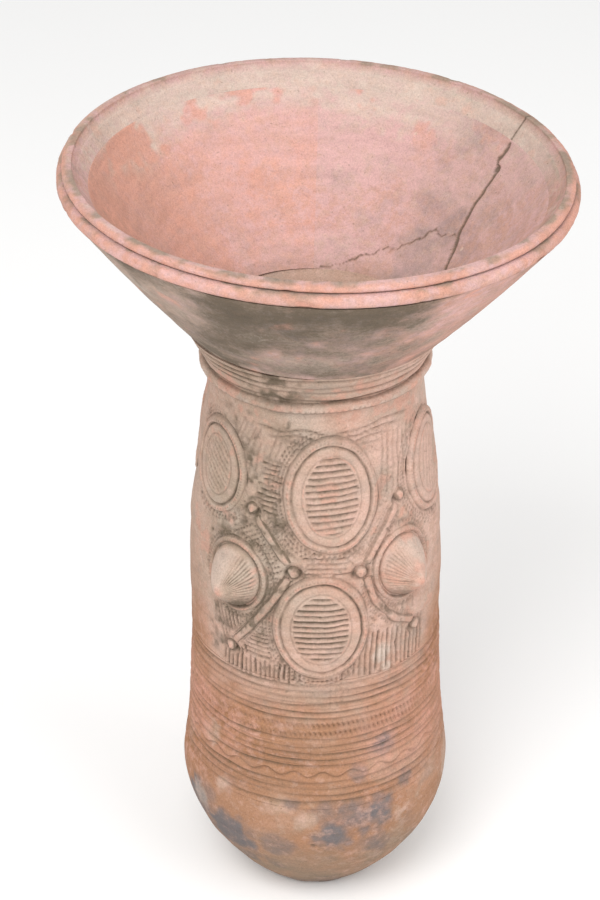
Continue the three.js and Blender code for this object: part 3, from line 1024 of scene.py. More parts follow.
def crack_marks(points, radius_at, finer):
    """Nearness to the dried-out cracks down the mouth's inside, 1 on a crack."""
    near = np.zeros(len(points))
    crooked = points + finer[:, None]
    for strength, *crack in CRACKS:
        path = [on_funnel(radius_at, *turn) for turn in crack]
        for first, last in zip(path[:-1], path[1:]):
            run = last - first
            t = np.clip(((crooked - first) @ run) / (run @ run), 0, 1)
            gap = np.linalg.norm(crooked - first - t[:, None] * run, axis=1)
            near = np.maximum(near, strength * hill(gap, 0.2 + 0.9 * strength))
    return near


def near_spots(points, radius_at, spots):
    """1 at the middle of each spot on the mouth's inside, given by bearing, depth and size."""
    near = np.zeros(len(points))
    for degrees, depth, size in spots:
        gap = np.linalg.norm(points - on_funnel(radius_at, degrees, depth), axis=1)
        near = np.maximum(near, 1 - ease(gap, 0.6 * size, 1.3 * size))
    return near


def mouth_side(outer):
    """Depths below the lip's middle and radii of the funnel's outer or inner side."""
    corners, facing = node_corners("funnel_bowl")
    return wall_side(to_mouth(corners), facing @ MOUTH_AXES.T, outer)


def funnel_outside(azimuth, depth, radius_at, ground):
    """Points and marks of the funnel's outside: darkened in front, lowest down and on the left by painted
    shade with some dirt, with beige crusts.
    """
    radius = radius_at(depth)
    plain = around_axis(radius, azimuth, depth)
    slow, small, tiny = grain(plain, 60, 61), grain(plain, 17, 62), grain(plain, 6, 66, 2)
    fade = ease(depth, ground, ground + 8)
    turning = 0.35 * np.sin(depth * 0.9 + 0.8 * slow) * ease(slow, -0.2, 0.6)
    radius = radius + fade * (0.7 * slow + 0.25 * small + 0.5 * turning) - 0.35
    # The front of the funnel faces down into shade: its dark, grey and blue-grey marks, strongest lower down
    # and on the left, are painted shade with some dirt.
    facing = ease(np.cos(azimuth + 0.25), -0.1, 0.8)
    left, right = ease(-wrap(azimuth), 0.15, 0.9), ease(wrap(azimuth), 0.1, 0.8)
    lower = 1 - ease(depth, -20, -12)
    ragged = slow + 0.8 * small + 0.4 * tiny
    level = depth + 9 * slow + 5 * small
    bands = hill(level + 43, 12) * (0.55 + 0.6 * small) + hill(level + 76, 9) * (0.7 + 0.3 * slow)
    crust = np.clip(bands * ease(small + 0.8 * tiny, -0.6, 0.5), 0, 1) * facing
    crust = np.maximum(crust, facing * 0.6 * ease(small + tiny - 0.3 * slow, 0.5, 1.3))
    return around_axis(radius, azimuth, depth), plain_marks(
        len(azimuth),
        soil=facing * (0.62 + 0.5 * ragged) + 0.35 * left * (0.6 + ragged) - 0.2 * crust,
        grey=0.46 + 0.42 * facing + 0.6 * left - 0.5 * right + 0.4 * ragged,
        pale=0.95 * crust + 0.30 * ease(small, 0.4, 0.9),
        orange=0.15 + 0.3 * slow + 0.35 * right,
        cloud=0.40 * facing * lower * (0.7 + 0.8 * slow - 0.5 * right) - 0.4 * crust,
        wear=0.6 * ease(-small + 0.5 * tiny, 0.6, 1.1) + 0.35 * right * facing,
    )


def funnel_inside(azimuth, depth, radius_at):
    """Points and marks of the funnel's inside: rosy, with a beige band on the far wall that is partly a
    painted highlight, painted shade on the right wall and down the throat, and cracks and chips.
    """
    radius = radius_at(depth)
    plain = around_axis(radius, azimuth, depth)
    slow, small, tiny = grain(plain, 70, 63), grain(plain, 20, 64), grain(plain, 5, 65, 2)
    crack = crack_marks(plain, radius_at, tiny * 1.6)
    hole, chip = near_spots(plain, radius_at, HOLE), near_spots(plain, radius_at, CHIPS)
    open_edge = ease(depth[0] - depth, 0.5, 6)
    radius = radius + open_edge * (0.7 * slow + 0.22 * small) + 1.1 * crack + 1.6 * hole + 0.5 * chip
    bearing = wrap(azimuth)
    left = ease(-bearing, 0.7, 1.5) * (1 - ease(-bearing, 1.9, 2.6))
    # The right wall is painted grey and blue-grey: painted shade.
    right = ease(bearing, 0.9, 1.7) * (1 - ease(bearing, 2.1, 2.8))
    # The far wall is painted paler in a band near the top: partly beige clay, partly a painted highlight.
    far = ease(-np.cos(azimuth), 0.0, 0.55) * (1 - 0.8 * right)
    band = far * ease(depth + 27 + 9 * slow + 7 * small + 4 * tiny, -9, 9)
    coral = ease(small + 0.3 * slow + 0.4 * tiny, 0.0, 0.6)
    # Darker and greyer down the throat: painted shade in the hole.
    throat = ease(-depth, 84, 96)
    rosy = ease(-bearing, 0.6, 1.6) * (1 - band) * (0.8 + 0.3 * slow + 0.2 * tiny)
    return around_axis(radius, azimuth, depth), plain_marks(
        len(azimuth),
        soil=np.maximum.reduce((1.5 * crack, hole, 0.2 * throat)),
        grey=0.30 * right + 0.10 * slow + 0.3 * throat + 0.15 * band,
        pale=np.maximum(0.8 * band * (1 - coral), 1.2 * chip) + 0.2 * ease(tiny, 0.5, 1),
        orange=0.50 * left + 0.10 * slow + 0.25 * throat,
        wear=0.7 * coral * (0.25 + 0.75 * band) + 0.58 * rosy + 0.30 * ease(crack, 0.05, 0.3),
        cloud=0.34 * right * ease(slow + 0.5 * small, -0.8, 0.6),
    )


def make_funnel():
    """The wide funnel of the mouth, with closer columns over the quarter that is cracked."""
    rows_out, rows_in = 58, 100
    cracked = np.linspace(math.radians(90), math.pi, 225, endpoint=False)
    azimuth = np.concatenate((cracked, np.linspace(math.pi, math.radians(450), 318, endpoint=False)))
    out_levels, out_radii = mouth_side(True)
    in_levels, in_radii = mouth_side(False)
    ground = to_mouth(np.array([[0.0, 0.0, span_of("funnel_bowl")[0]]]))[0, 2]
    a_out, z_out = np.meshgrid(azimuth, np.linspace(ground, out_levels[-1], rows_out))
    a_in, z_in = np.meshgrid(azimuth, np.linspace(in_levels[-1], ground, rows_in))
    outer_line, inner_line = smooth_line(out_levels, out_radii), smooth_line(in_levels, in_radii)
    outside, outer_marks = funnel_outside(a_out.ravel(), z_out.ravel(), outer_line, ground)
    inside, inner_marks = funnel_inside(a_in.ravel(), z_in.ravel(), inner_line)
    points = from_mouth(np.concatenate((outside, inside)))
    quads = ring_quads(rows_out + rows_in, len(azimuth), True)
    shade = merged_marks(outer_marks, inner_marks)
    return make_piece("funnel_bowl_clay", points, quads, no_triangles(), shade, "mouth_clay", ["funnel_bowl"])


def make_rim_ring(name, node, crown):
    """A bead round the mouth's edge: flush inside, uneven and rubbed orange outside."""
    corners = to_mouth(node_corners(node)[0])
    outer = np.hypot(corners[:, 0], corners[:, 1]).max()
    in_levels, in_radii = mouth_side(False)
    slope = (in_radii[-1] - in_radii[-2]) / (in_levels[-1] - in_levels[-2])
    low, high = corners[:, 2].min() - 0.27, corners[:, 2].max() + (0 if crown else 0.02)
    flush_low = in_radii[-1] + slope * (low - in_levels[-1])
    flush_high = in_radii[-1] + slope * (high - in_levels[-1])
    middle, half = (low + high) / 2, (high - low) / 2
    turn = np.linspace(-math.pi / 2, math.pi / 2, 26)
    round_out = 6.0
    bulge = outer - round_out
    bead_r = bulge + np.sign(np.cos(turn)) * np.abs(np.cos(turn)) ** 0.7 * round_out
    bead_z = middle + np.sign(np.sin(turn)) * np.abs(np.sin(turn)) ** 0.8 * half
    drop = 1.7 if crown else 0.0
    inner_z = np.linspace(high - drop, low, 7)
    inner_r = np.interp(inner_z, (low, high), (flush_low, flush_high))
    top_r = np.linspace(bulge, inner_r[0], 7)[1:-1]
    share = np.linspace(0, 1, 7)[1:-1]
    top_z = high - drop * share**2.5
    section_r = np.concatenate((bead_r, top_r, inner_r, np.linspace(flush_low, bulge, 4)[1:-1]))
    section_z = np.concatenate((bead_z, top_z, inner_z, [low, low]))
    azimuth = np.linspace(0, 2 * math.pi, 700, endpoint=False)
    a, r = np.meshgrid(azimuth, section_r)
    z = np.broadcast_to(section_z[:, None], a.shape)
    a, r, z = a.ravel(), r.ravel(), z.ravel()
    flat = around_axis(r, a, z)
    slow, small, tiny = grain(flat, 48, 71), grain(flat, 13, 72), grain(flat, 4.5, 73, 2)
    out = ease(r, outer - 4.5, outer - 0.8)
    chips = ease(small + 0.5 * tiny, 0.62, 1.1)
    reach = r - out * (0.25 + 0.9 * chips + 0.2 * np.abs(tiny) + 0.4 * ease(slow, 0, 1))
    above = ease(z, middle, high) if crown else 0
    level = z - above * (0.3 * ease(slow, 0.1, 1) + 0.7 * chips * out + 0.15 * np.abs(tiny))
    points = around_axis(reach, a, level)
    # The bead's underside is painted dark: painted shade under the bead.
    under = ease(middle - z, 0.35 * half, 0.95 * half) * out
    upper = ease(z - middle, 0.3 * half, 0.9 * half)
    inward = 1 - ease(r, bulge - 4, bulge)
    # On the far side the lip's inner face is painted paler: a painted highlight.
    far = ease(-np.cos(a), -0.25, 0.5)
    grimy = ease(small + 0.5 * slow + 0.3 * tiny, -0.1, 0.6)
    split = hill(wrap(a - math.radians(119.8)) * outer + 0.6 * tiny, 0.8) * (1 - out)
    bleached = 0.8 * hill(wrap(a + 1.9), 0.5) * out
    marks = plain_marks(
        len(a),
        soil=0.75 * under + 0.25 * grimy * upper * (1 - inward) + split,
        grey=0.95 * grimy * (0.3 + 0.7 * upper) * (1 - 0.5 * out * (1 - upper)) + 0.25 * far,
        pale=0.75 * far * inward + bleached + 0.4 * ease(tiny - small, 0.5, 1.1),
        wear=out * (0.62 + 0.5 * slow + 0.5 * tiny) * (1 - 0.4 * grimy) + 0.3 * chips,
        orange=0.1 + 0.3 * slow + 0.45 * out * ease(tiny + small, -0.3, 0.7),
    )
    quads = ring_quads(len(section_r), len(azimuth), True)
    return make_piece(name, from_mouth(points), quads, no_triangles(), marks, "rim_clay", [node])


# ---------------------------------------------------------------- the pressed ornament


BEDDED = 1.1  # millimetres that a pressed patch goes into the wall


def patch_piece(name, node, place, shape, rings=64, columns=176):
    """A clay patch on the wall: shape gives its relief and marks over an oval."""
    share = np.linspace(0, 1, rings)[1:] ** 0.92 * 1.03
    angle = np.linspace(0, 2 * math.pi, columns, endpoint=False)
    t, s = np.meshgrid(angle, share)
    u = np.append((s * np.cos(t) * place.half_wide).ravel(), 0.0)
    v = np.append((s * np.sin(t) * place.half_high).ravel(), 0.0)
    shift, lift, marks = shape(u, v)
    top = place.on_wall(u + shift[0], v + shift[1], lift)
    t, s = np.meshgrid(angle, (1.0, 0.6))
    under_u = np.append((s * np.cos(t) * place.half_wide).ravel(), 0.0)
    under_v = np.append((s * np.sin(t) * place.half_high).ravel(), 0.0)
    under = place.on_wall(under_u, under_v, np.full(len(under_u), -BEDDED))
    points = np.concatenate((top[:-1], under[:-1], top[-1:], under[-1:]))
    turn = np.arange(columns)
    edge_top, edge_low, inner_low = ((len(share) - 1 + k) * columns + turn for k in range(3))
    upper = ring_quads(len(share), columns, False)[:, ::-1]
    side = np.stack((edge_top, edge_low, np.roll(edge_low, -1), np.roll(edge_top, -1)), -1)
    floor = np.stack((edge_low, inner_low, np.roll(inner_low, -1), np.roll(edge_low, -1)), -1)
    pole_top, pole_low = len(points) - 2, len(points) - 1
    fan = np.stack((np.full(columns, pole_top), turn, np.roll(turn, -1)), -1)
    fan_low = np.stack((np.full(columns, pole_low), np.roll(inner_low, -1), inner_low), -1)
    low_marks = plain_marks(2 * columns, soil=0.6)
    marks = {
        key: np.concatenate((marks[key][:-1], low_marks[key], marks[key][-1:], [0.0])) for key in MARKS
    }
    quads = np.concatenate((upper, side, floor))
    triangles = np.concatenate((fan, fan_low))
    return make_piece(name, points, quads, triangles, marks, "ornament_clay", [node])


def patch_marks(place, u, v, soil, wear):
    """Wall marks under a patch, with the patch's own dirt and painted shade, and its wear."""
    azimuth = place.turn + place.middle + u / place.radius
    height = place.level + v
    points = place.on_wall(u, v, np.zeros(u.shape))
    marks = wall_marks(azimuth, height, points, soil)
    marks["wear"] = np.clip(np.maximum(marks["wear"], wear), 0, 1)
    return marks


# Slope in degrees, pitch and depth of each medallion's comb strokes, and how dotted they are.
MEDALLION_COMBS = {
    "medallion_middle": (2.8, 4.05, 1.0, 0.0),
    "medallion_left": (-38.0, 3.5, 0.5, 0.55),
    "medallion_right": (80.0, 4.4, 0.35, 0.0),
    "medallion_low": (1.0, 3.9, 1.0, 0.0),
}


def medallion_shape(place, seed):
    """An oval medallion: raised ring, groove, smooth dished ring and a combed disc."""
    slope, pitch, deep, dotted = MEDALLION_COMBS[place.name]
    slope = math.radians(slope)
    depth = settings().comb_depth * 1000
    sunk_side = 0.55 if place.panel == "back_" and abs(place.middle) > 0.7 else 1.0

    def shape(u, v):
        at = inside_oval(u, v, place.half_wide, place.half_high)
        points = place.on_wall(u, v, np.zeros(u.shape))
        uneven = grain(points, 9, seed, 2)
        rough = grain(points, 3.2, seed + 1, 2)
        at = at + 0.35 * uneven
        rim = (place.proud - 0.6) * sunk_side
        steps = (-2.0, 0.0, 0.9, 1.9, 3.0, 3.9, 4.6, 5.3, 6.3, 8.6, 9.9, 10.6, 11.4, 13.5, 24.0)
        tall = (-0.6, 0.1, 0.66, 0.92, 0.88, 0.56, 0.26, 0.52, 0.74, 0.72, 0.60, 0.50, 0.62, 0.68, 0.72)
        lift = np.interp(at, steps, tall) * rim
        turn = np.arctan2(v, u)
        strong = 0.5 + 0.55 * np.cos(turn - 0.6) + 0.5 * uneven
        lift -= 0.4 * hill(at - 4.6, 0.7) * strong
        c, s = math.cos(slope), math.sin(slope)
        along, over = u * c + v * s, -u * s + v * c
        wander = 0.35 * uneven + 0.12 * rough
        teeth, tooth = comb_teeth(over + pitch / 2 * (place.name == "medallion_low"), pitch, wander)
        disc = inside_oval(u, v, place.half_wide - 10.8, place.half_high - 10.4)
        ends = ease(disc - 1.8 * chance(tooth + 20, seed + 3), 0.0, 1.3)
        cut = teeth * ends * (0.85 + 0.3 * chance(tooth + 5, seed + 5) + 0.18 * rough)
        cut *= 1 - dotted * (0.5 + 0.5 * np.cos(along * 2 * math.pi / 2.7))
        lift -= 0.8 * depth * deep * cut
        lift += 0.25 * (1 - teeth) * ends * deep + 0.16 * uneven + 0.10 * rough
        notches = dots(turn * (place.half_wide + place.half_high) / 2, at - 2.0, 2.3, 0.7)
        lift -= 0.35 * notches
        # The groove is painted darker towards its upper right: painted shade, over the dirt held in the
        # groove.
        groove = hill(at - 4.6, 0.9) * np.clip(0.5 + 0.6 * strong, 0.15, 1)
        foot = ease(0.7 - at, 0, 1.2) * 0.6
        parts = (groove, 0.45 * hill(at - 10.7, 0.7), deep * cut, foot, 0.6 * notches)
        soil = np.maximum.reduce(parts)
        wear = 0.65 * hill(at - 2.4, 0.8) * ease(uneven + 0.5 * rough, 0.0, 0.7)
        wear = np.maximum(wear, 0.6 * hill(at - 11.6, 0.6) * ease(uneven + 0.5 * rough, 0.1, 0.7))
        return (0 * u, 0 * v), lift, patch_marks(place, u, v, np.clip(soil, 0, 1), wear)

    return shape


def cone_shape(place, seed):
    """A pulled cone in its ring: smooth above, combed towards the tip below and inside."""
    inner_side = -1.0 if place.middle > 0 else 1.0
    droop = 2.0 * place.tip[1]
    tall = place.proud

    def shape(u, v):
        share = np.hypot(u / place.half_wide, v / place.half_high)
        turn = np.arctan2(v / place.half_high, u / place.half_wide)
        points = place.on_wall(u, v, np.zeros(u.shape))
        uneven = grain(points, 9, seed, 2)
        rough = grain(points, 3.0, seed + 1, 2)
        below = ease(-np.sin(turn), -0.15, 0.75)
        side = ease(np.cos(turn) * inner_side, -0.2, 0.8)
        rise = np.clip(1 - np.sqrt(share**2 + 0.014) / 0.83, 0, 1)
        body = (rise / 0.857) ** (0.84 - 0.14 * below)
        ring = hill(share - 0.92, 0.05)
        lift = tall * 0.96 * body + 2.1 * ring + 0.25
        lift = np.where(share > 0.99, lift - 2.2 * ease(share, 0.985, 1.03), lift)
        trench = hill(share - 0.83, 0.03)
        lift -= 0.6 * trench
        fan, tooth = comb_teeth(turn * 6.6 + 0.35 * uneven, 1.0, 0.0)
        combed = np.clip(np.maximum(side, 0.9 * below), 0, 1)
        reach = ease(share, 0.10, 0.24 + 0.1 * chance(tooth + 30, seed)) * (1 - ease(share, 0.68, 0.79))
        lines = fan * combed * reach * (0.8 + 0.3 * rough)
        lift -= 0.62 * lines
        lift += 0.25 * uneven + 0.12 * rough
        notches = dots(turn * (place.half_wide + place.half_high) / 2, (share - 0.92) * 22, 2.4, 0.7)
        lift -= 0.4 * notches
        shift = (0.25 * place.tip[0] * rise, droop * rise**1.15)
        # Dark on the underside below the tip: painted shade under the overhanging cone.
        underside_shade = ease(-np.sin(turn), 0.3, 0.85) * ease(share, 0.30, 0.55) * (1 - ease(share, 0.86, 0.93))
        parts = (0.85 * trench, 0.85 * lines, 0.9 * underside_shade, 0.6 * ease(share, 0.97, 1.0), 0.5 * notches)
        soil = np.maximum.reduce(parts)
        wear = np.maximum(0.75 * hill(share, 0.12), 0.6 * hill(share - 0.92, 0.04) * ease(uneven, 0.0, 0.6))
        marks = patch_marks(place, u, v, np.clip(soil, 0, 1), wear)
        # The smooth upper side is painted paler and less grey: a painted highlight.
        smooth = (1 - combed) * (1 - ease(share, 0.7, 0.8))
        marks["pale"] = np.clip(np.maximum(marks["pale"], 0.62 * smooth), 0, 1)
        marks["grey"] = marks["grey"] * (1 - 0.5 * smooth)
        return shift, lift, marks

    return shape


def pellet_shape(place, seed):
    """A pinched pellet with a nail's pit at each side."""
    lean = 0.5 * (chance(seed, 7) - 0.5)

    def shape(u, v):
        share = np.hypot(u / place.half_wide, v / place.half_high)
        points = place.on_wall(u, v, np.zeros(u.shape))
        uneven = grain(points, 3.4, seed, 2)
        dome = np.clip(1 - (share + 0.25 * uneven) ** 2, 0, 1) ** 0.8
        pinch = 0.35 * hill(np.abs(u + lean * v) - place.half_wide * 0.6, 1.0) * ease(-v, -2.5, 1.5)
        lift = place.proud * np.clip(0.38 * dome * (1 - pinch) + 0.15 * uneven, -0.3, 1.0)
        lift = lift - 1.4 * ease(share, 0.97, 1.03)
        soil = np.clip(0.9 * ease(share + 0.3 * uneven, 0.45, 0.9) + 1.2 * pinch, 0, 1)
        wear = hill(share, 0.5) * (0.1 + 0.5 * chance(seed + 2, 9))
        return (0 * u, -0.5 * dome), lift, patch_marks(place, u, v, soil, wear)

    return shape


def make_ridge(name, node, spine, seed):
    """A low clay ridge laid between two pellets, pinched along its crest."""
    line, radius, turn = spine
    steps = np.concatenate(([0], np.cumsum(np.hypot(*np.diff(line, axis=0).T))))
    along = np.linspace(0, steps[-1], int(steps[-1] / 0.6))
    x, y = np.interp(along, steps, line[:, 0]), np.interp(along, steps, line[:, 1])
    for _ in range(12):
        x[1:-1] = (x[:-2] + 2 * x[1:-1] + x[2:]) / 4
        y[1:-1] = (y[:-2] + 2 * y[1:-1] + y[2:]) / 4
    dx, dy = np.gradient(x), np.gradient(y)
    length = np.hypot(dx, dy)
    corners = node_points(node)
    tall = (np.hypot(*corners[:, :2].T) - WALL(corners[:, 2])).max()
    across = np.array((-3.4, -2.9, -2.3, -1.6, -0.8, 0.0, 0.8, 1.6, 2.3, 2.9, 3.4, 0.0))
    height = np.array((-1.0, 0.06, 0.34, 0.66, 0.92, 1.0, 0.92, 0.66, 0.34, 0.06, -1.0, -1.2))
    taper = ease(along, 0, 4) * (1 - ease(along, along[-1] - 4, along[-1]))
    wobble = 0.5 * np.sin(along / 2.1 + seed) + 0.5 * np.sin(along / 4.7)
    width = 0.92 + 0.08 * np.sin(along / 3.0 + seed)
    s, k = np.meshgrid(np.arange(len(along)), np.arange(len(across)), indexing="ij")
    notch = dots(along, 0.0, 2.7, 0.6)[s]
    crest = tall * (0.36 + 0.24 * taper[s] + 0.08 * wobble[s] - 0.03 * notch)
    lift = np.where(height[k] > 0, height[k] * crest, height[k])
    off = across[k] * width[s]
    u, v = x[s] - dy[s] / length[s] * off, y[s] + dx[s] / length[s] * off
    azimuth = turn + u / radius
    reach = WALL(v) + lift
    rough = grain(around_axis(reach, azimuth, v).reshape(-1, 3), 4, seed, 2)
    reach = reach + 0.4 * (rough.reshape(reach.shape) - 0.3) * (height[k] > 0)
    points = around_axis(reach, azimuth, v).reshape(-1, 3)
    count = len(across)
    quads = ring_quads(len(along), count, False)[:, ::-1]
    poles = np.stack((points[:count].mean(0), points[-count:].mean(0)))
    first, last = len(points), len(points) + 1
    turns, base = np.arange(count), (len(along) - 1) * count
    start = np.stack((np.full(count, first), turns, (turns + 1) % count), -1)
    end = np.stack((np.full(count, last), base + (turns + 1) % count, base + turns), -1)
    dirt = np.maximum(0.85 * (height[k] < 0.35), 0.18 * notch).ravel()
    marks = wall_marks(azimuth.ravel(), v.ravel(), points, dirt)
    crown = (height[k] > 0.6).ravel()
    marks["wear"] = np.clip(np.maximum(marks["wear"], 0.28 * crown * ease(rough, 0.2, 0.9)), 0, 1)
    marks["soil"] = np.clip(np.maximum(marks["soil"], 0.16 + 0.6 * ease(-rough, 0.0, 0.8)), 0, 1)
    marks = {key: np.append(value, (0.0, 0.0)) for key, value in marks.items()}
    points = np.concatenate((points, poles))
    triangles = np.concatenate((start, end))
    return make_piece(name, points, quads, triangles, marks, "ornament_clay", [node])


# ---------------------------------------------------------------- settings


class DrumSettings(bpy.types.PropertyGroup):
    """Sizes and colours of the drum's clay."""

    groove_depth: bpy.props.FloatProperty(
        name="Groove depth", description="Depth of the grooves cut round the belt and neck",
        default=0.0017, min=0.0, max=0.003, precision=4, unit="LENGTH",
    )
    comb_depth: bpy.props.FloatProperty(
        name="Comb depth", description="Depth of the comb strokes on the panels and medallions",
        default=0.0016, min=0.0, max=0.003, precision=4, unit="LENGTH",
    )
    unevenness: bpy.props.FloatProperty(
        name="Unevenness", description="How far the hand-raised wall strays from true",
        default=0.0007, min=0.0, max=0.002, precision=4, unit="LENGTH",
    )
    pink_colour: bpy.props.FloatVectorProperty(
        name="Pink clay", description="Fired clay of the mouth and panels",
        default=(0.62, 0.41, 0.335), min=0.0, max=1.0, size=3, subtype="COLOR",
    )
    rose_colour: bpy.props.FloatVectorProperty(
        name="Rose clay", description="Fired clay of the mouth and its rim",
        default=(0.615, 0.385, 0.365), min=0.0, max=1.0, size=3, subtype="COLOR",
    )
    tan_colour: bpy.props.FloatVectorProperty(
        name="Tan clay", description="Fired clay of the belt and base",
        default=(0.375, 0.185, 0.098), min=0.0, max=1.0, size=3, subtype="COLOR",
    )
    # The grey colour also lays painted shade over the foot, the funnel's front and left, and the right wall
    # and throat inside the mouth.
    grey_colour: bpy.props.FloatVectorProperty(
        name="Greyed clay", description="Clay greyed by soil and smoke",
        default=(0.33, 0.27, 0.20), min=0.0, max=1.0, size=3, subtype="COLOR",
    )
    # The blue-grey colour also lays painted shade: a band along the floor at the foot, the funnel's lower
    # front and the right wall inside the mouth.
    cloud_colour: bpy.props.FloatVectorProperty(
        name="Fire cloud", description="Blue-grey patches left by the fire",
        default=(0.155, 0.145, 0.15), min=0.0, max=1.0, size=3, subtype="COLOR",
    )
    dust_colour: bpy.props.FloatVectorProperty(
        name="Dust", description="Beige bloom over the clay",
        default=(0.57, 0.45, 0.37), min=0.0, max=1.0, size=3, subtype="COLOR",
    )
    # The pale colour also lays painted highlights on the cones' smooth upper sides and on the far wall inside
    # the mouth.
    pale_colour: bpy.props.FloatVectorProperty(
        name="Pale scuffs", description="Pale scuffs and lime",
        default=(0.60, 0.495, 0.42), min=0.0, max=1.0, size=3, subtype="COLOR",
    )
    wear_colour: bpy.props.FloatVectorProperty(
        name="Worn edges", description="Fresh orange clay on rubbed edges",
        default=(0.66, 0.33, 0.25), min=0.0, max=1.0, size=3, subtype="COLOR",
    )
    # The dark colour also lays painted shade under the cones, pellets, coil and rim bead, in the medallion
    # grooves, down the mouth's throat, over the funnel's front and at the foot.
    soil_colour: bpy.props.FloatVectorProperty(
        name="Soil", description="Dark olive soil held in the grooves",
        default=(0.105, 0.08, 0.052), min=0.0, max=1.0, size=3, subtype="COLOR",
    )


class DrumStageSettings(bpy.types.PropertyGroup):
    """The camera, the floor and the light."""

    camera_distance: bpy.props.FloatProperty(
        name="Camera distance", description="How far in front of the drum the camera stands",
        default=1.4553, min=0.1, unit="LENGTH",
    )
    camera_height: bpy.props.FloatProperty(
        name="Camera height", description="Height of the camera over the floor",
        default=1.2167, min=0.0, unit="LENGTH",
    )
    camera_tilt: bpy.props.FloatProperty(
        name="Camera tilt", description="Angle of the camera up from straight down",
        default=math.radians(57.99), subtype="ANGLE",
    )
    lens: bpy.props.FloatProperty(
        name="Lens", description="Focal length in millimetres on a 36 mm wide sensor",
        default=113.48, min=10.0,
    )
    sideways: bpy.props.FloatProperty(
        name="Sideways shift", description="Shift of the lens, as a share of the long side",
        default=-0.0172,
    )
    floor_colour: bpy.props.FloatVectorProperty(
        name="Floor", description="Plain pale floor",
        default=(0.97, 0.97, 0.97), min=0.0, max=1.0, size=3, subtype="COLOR",
    )
    sky_strength: bpy.props.FloatProperty(
        name="Room light", description="Strength of the even light from all sides", default=0.68, min=0.0,
    )
    key_power: bpy.props.FloatProperty(
        name="Key light", description="Power of the large soft light", default=50.0, min=0.0, subtype="POWER",
    )


def settings():
    """The drum's sizes and colours as set in this file."""
    return bpy.context.scene.goblet_drum


# ---------------------------------------------------------------- operators


class DRUM_OT_base(bpy.types.Operator):
    """Make the round-bottomed base on its flat foot"""

    bl_idname = "drum.base"
    bl_label = "Base"
    bl_options = {"REGISTER", "UNDO"}

    def execute(self, context):
        make_base()
        return {"FINISHED"}


class DRUM_OT_belt(bpy.types.Operator):
    """Make the belt with its grooves, dashes and wavy line"""

    bl_idname = "drum.belt"
    bl_label = "Grooved belt"
    bl_options = {"REGISTER", "UNDO"}

    def execute(self, context):
        low, high = span_of("grooved_belt")
        turned_piece(
            "grooved_belt_clay", "grooved_belt", "base_clay", azimuths_round(0.75, 1.6),
            rows_between(low, high, 0.72), belt_relief,
        )
        return {"FINISHED"}


class DRUM_OT_barrel(bpy.types.Operator):
    """Make the barrel with the combed ground of its panels"""

    bl_idname = "drum.barrel"
    bl_label = "Barrel"
    bl_options = {"REGISTER", "UNDO"}

    def execute(self, context):
        low, high = span_of("barrel")
        turned_piece(
            "barrel_clay", "barrel", "body_clay", azimuths_round(0.5, 1.6),
            rows_between(low, high, 1.03), barrel_relief,
        )
        return {"FINISHED"}


class DRUM_OT_neck(bpy.types.Operator):
    """Make the combed neck and the nicked coil round its foot"""

    bl_idname = "drum.neck"
    bl_label = "Neck and coil"
    bl_options = {"REGISTER", "UNDO"}

    def execute(self, context):
        low, high = span_of("neck_ring")
        turned_piece(
            "neck_ring_clay", "neck_ring", "body_clay", azimuths_round(0.75, 1.6),
            rows_between(low, high, 0.6), neck_relief,
        )
        make_coil()
        return {"FINISHED"}


class DRUM_OT_mouth(bpy.types.Operator):
    """Make the funnel of the mouth with its cracks"""

    bl_idname = "drum.mouth"
    bl_label = "Funnel mouth"
    bl_options = {"REGISTER", "UNDO"}

    def execute(self, context):
        make_funnel()
        return {"FINISHED"}


class DRUM_OT_rim(bpy.types.Operator):
    """Make the band and the lip round the mouth's edge"""

    bl_idname = "drum.rim"
    bl_label = "Rim"
    bl_options = {"REGISTER", "UNDO"}

    def execute(self, context):
        make_rim_ring("rim_band_clay", "rim_band", False)
        make_rim_ring("rim_lip_clay", "rim_lip", True)
        return {"FINISHED"}


class DRUM_OT_medallions(bpy.types.Operator):
    """Make the ringed and combed medallions of both panels"""

    bl_idname = "drum.medallions"
    bl_label = "Medallions"
    bl_options = {"REGISTER", "UNDO"}

    def execute(self, context):
        for number, node in enumerate(p + n for p, _ in PANELS for n in MEDALLIONS):
            place = PLACES[node]
            patch_piece(node + "_clay", node, place, medallion_shape(place, 100 + 10 * number))
        return {"FINISHED"}


class DRUM_OT_cones(bpy.types.Operator):
    """Make the combed cones of both panels"""

    bl_idname = "drum.cones"
    bl_label = "Cones"
    bl_options = {"REGISTER", "UNDO"}

    def execute(self, context):
        for number, node in enumerate(p + n for p, _ in PANELS for n in CONES):
            place = PLACES[node]
            patch_piece(node + "_clay", node, place, cone_shape(place, 200 + 10 * number), 70, 180)
        return {"FINISHED"}


class DRUM_OT_pellets(bpy.types.Operator):
    """Make the pinched pellets of both panels"""

    bl_idname = "drum.pellets"
    bl_label = "Pellets"
    bl_options = {"REGISTER", "UNDO"}

    def execute(self, context):
        for number, node in enumerate(p + n for p, _ in PANELS for n in PELLETS):
            place = PLACES[node]
            patch_piece(node + "_clay", node, place, pellet_shape(place, 300 + 7 * number), 18, 40)
        return {"FINISHED"}


class DRUM_OT_ridges(bpy.types.Operator):
    """Make the thin ridges between the pellets"""

    bl_idname = "drum.ridges"
    bl_label = "Ridges"
    bl_options = {"REGISTER", "UNDO"}

    def execute(self, context):
        for number, node in enumerate(p + n for p, _ in PANELS for n in RIDGES):
            make_ridge(node + "_clay", node, SPINES[node], 400 + number)
        return {"FINISHED"}


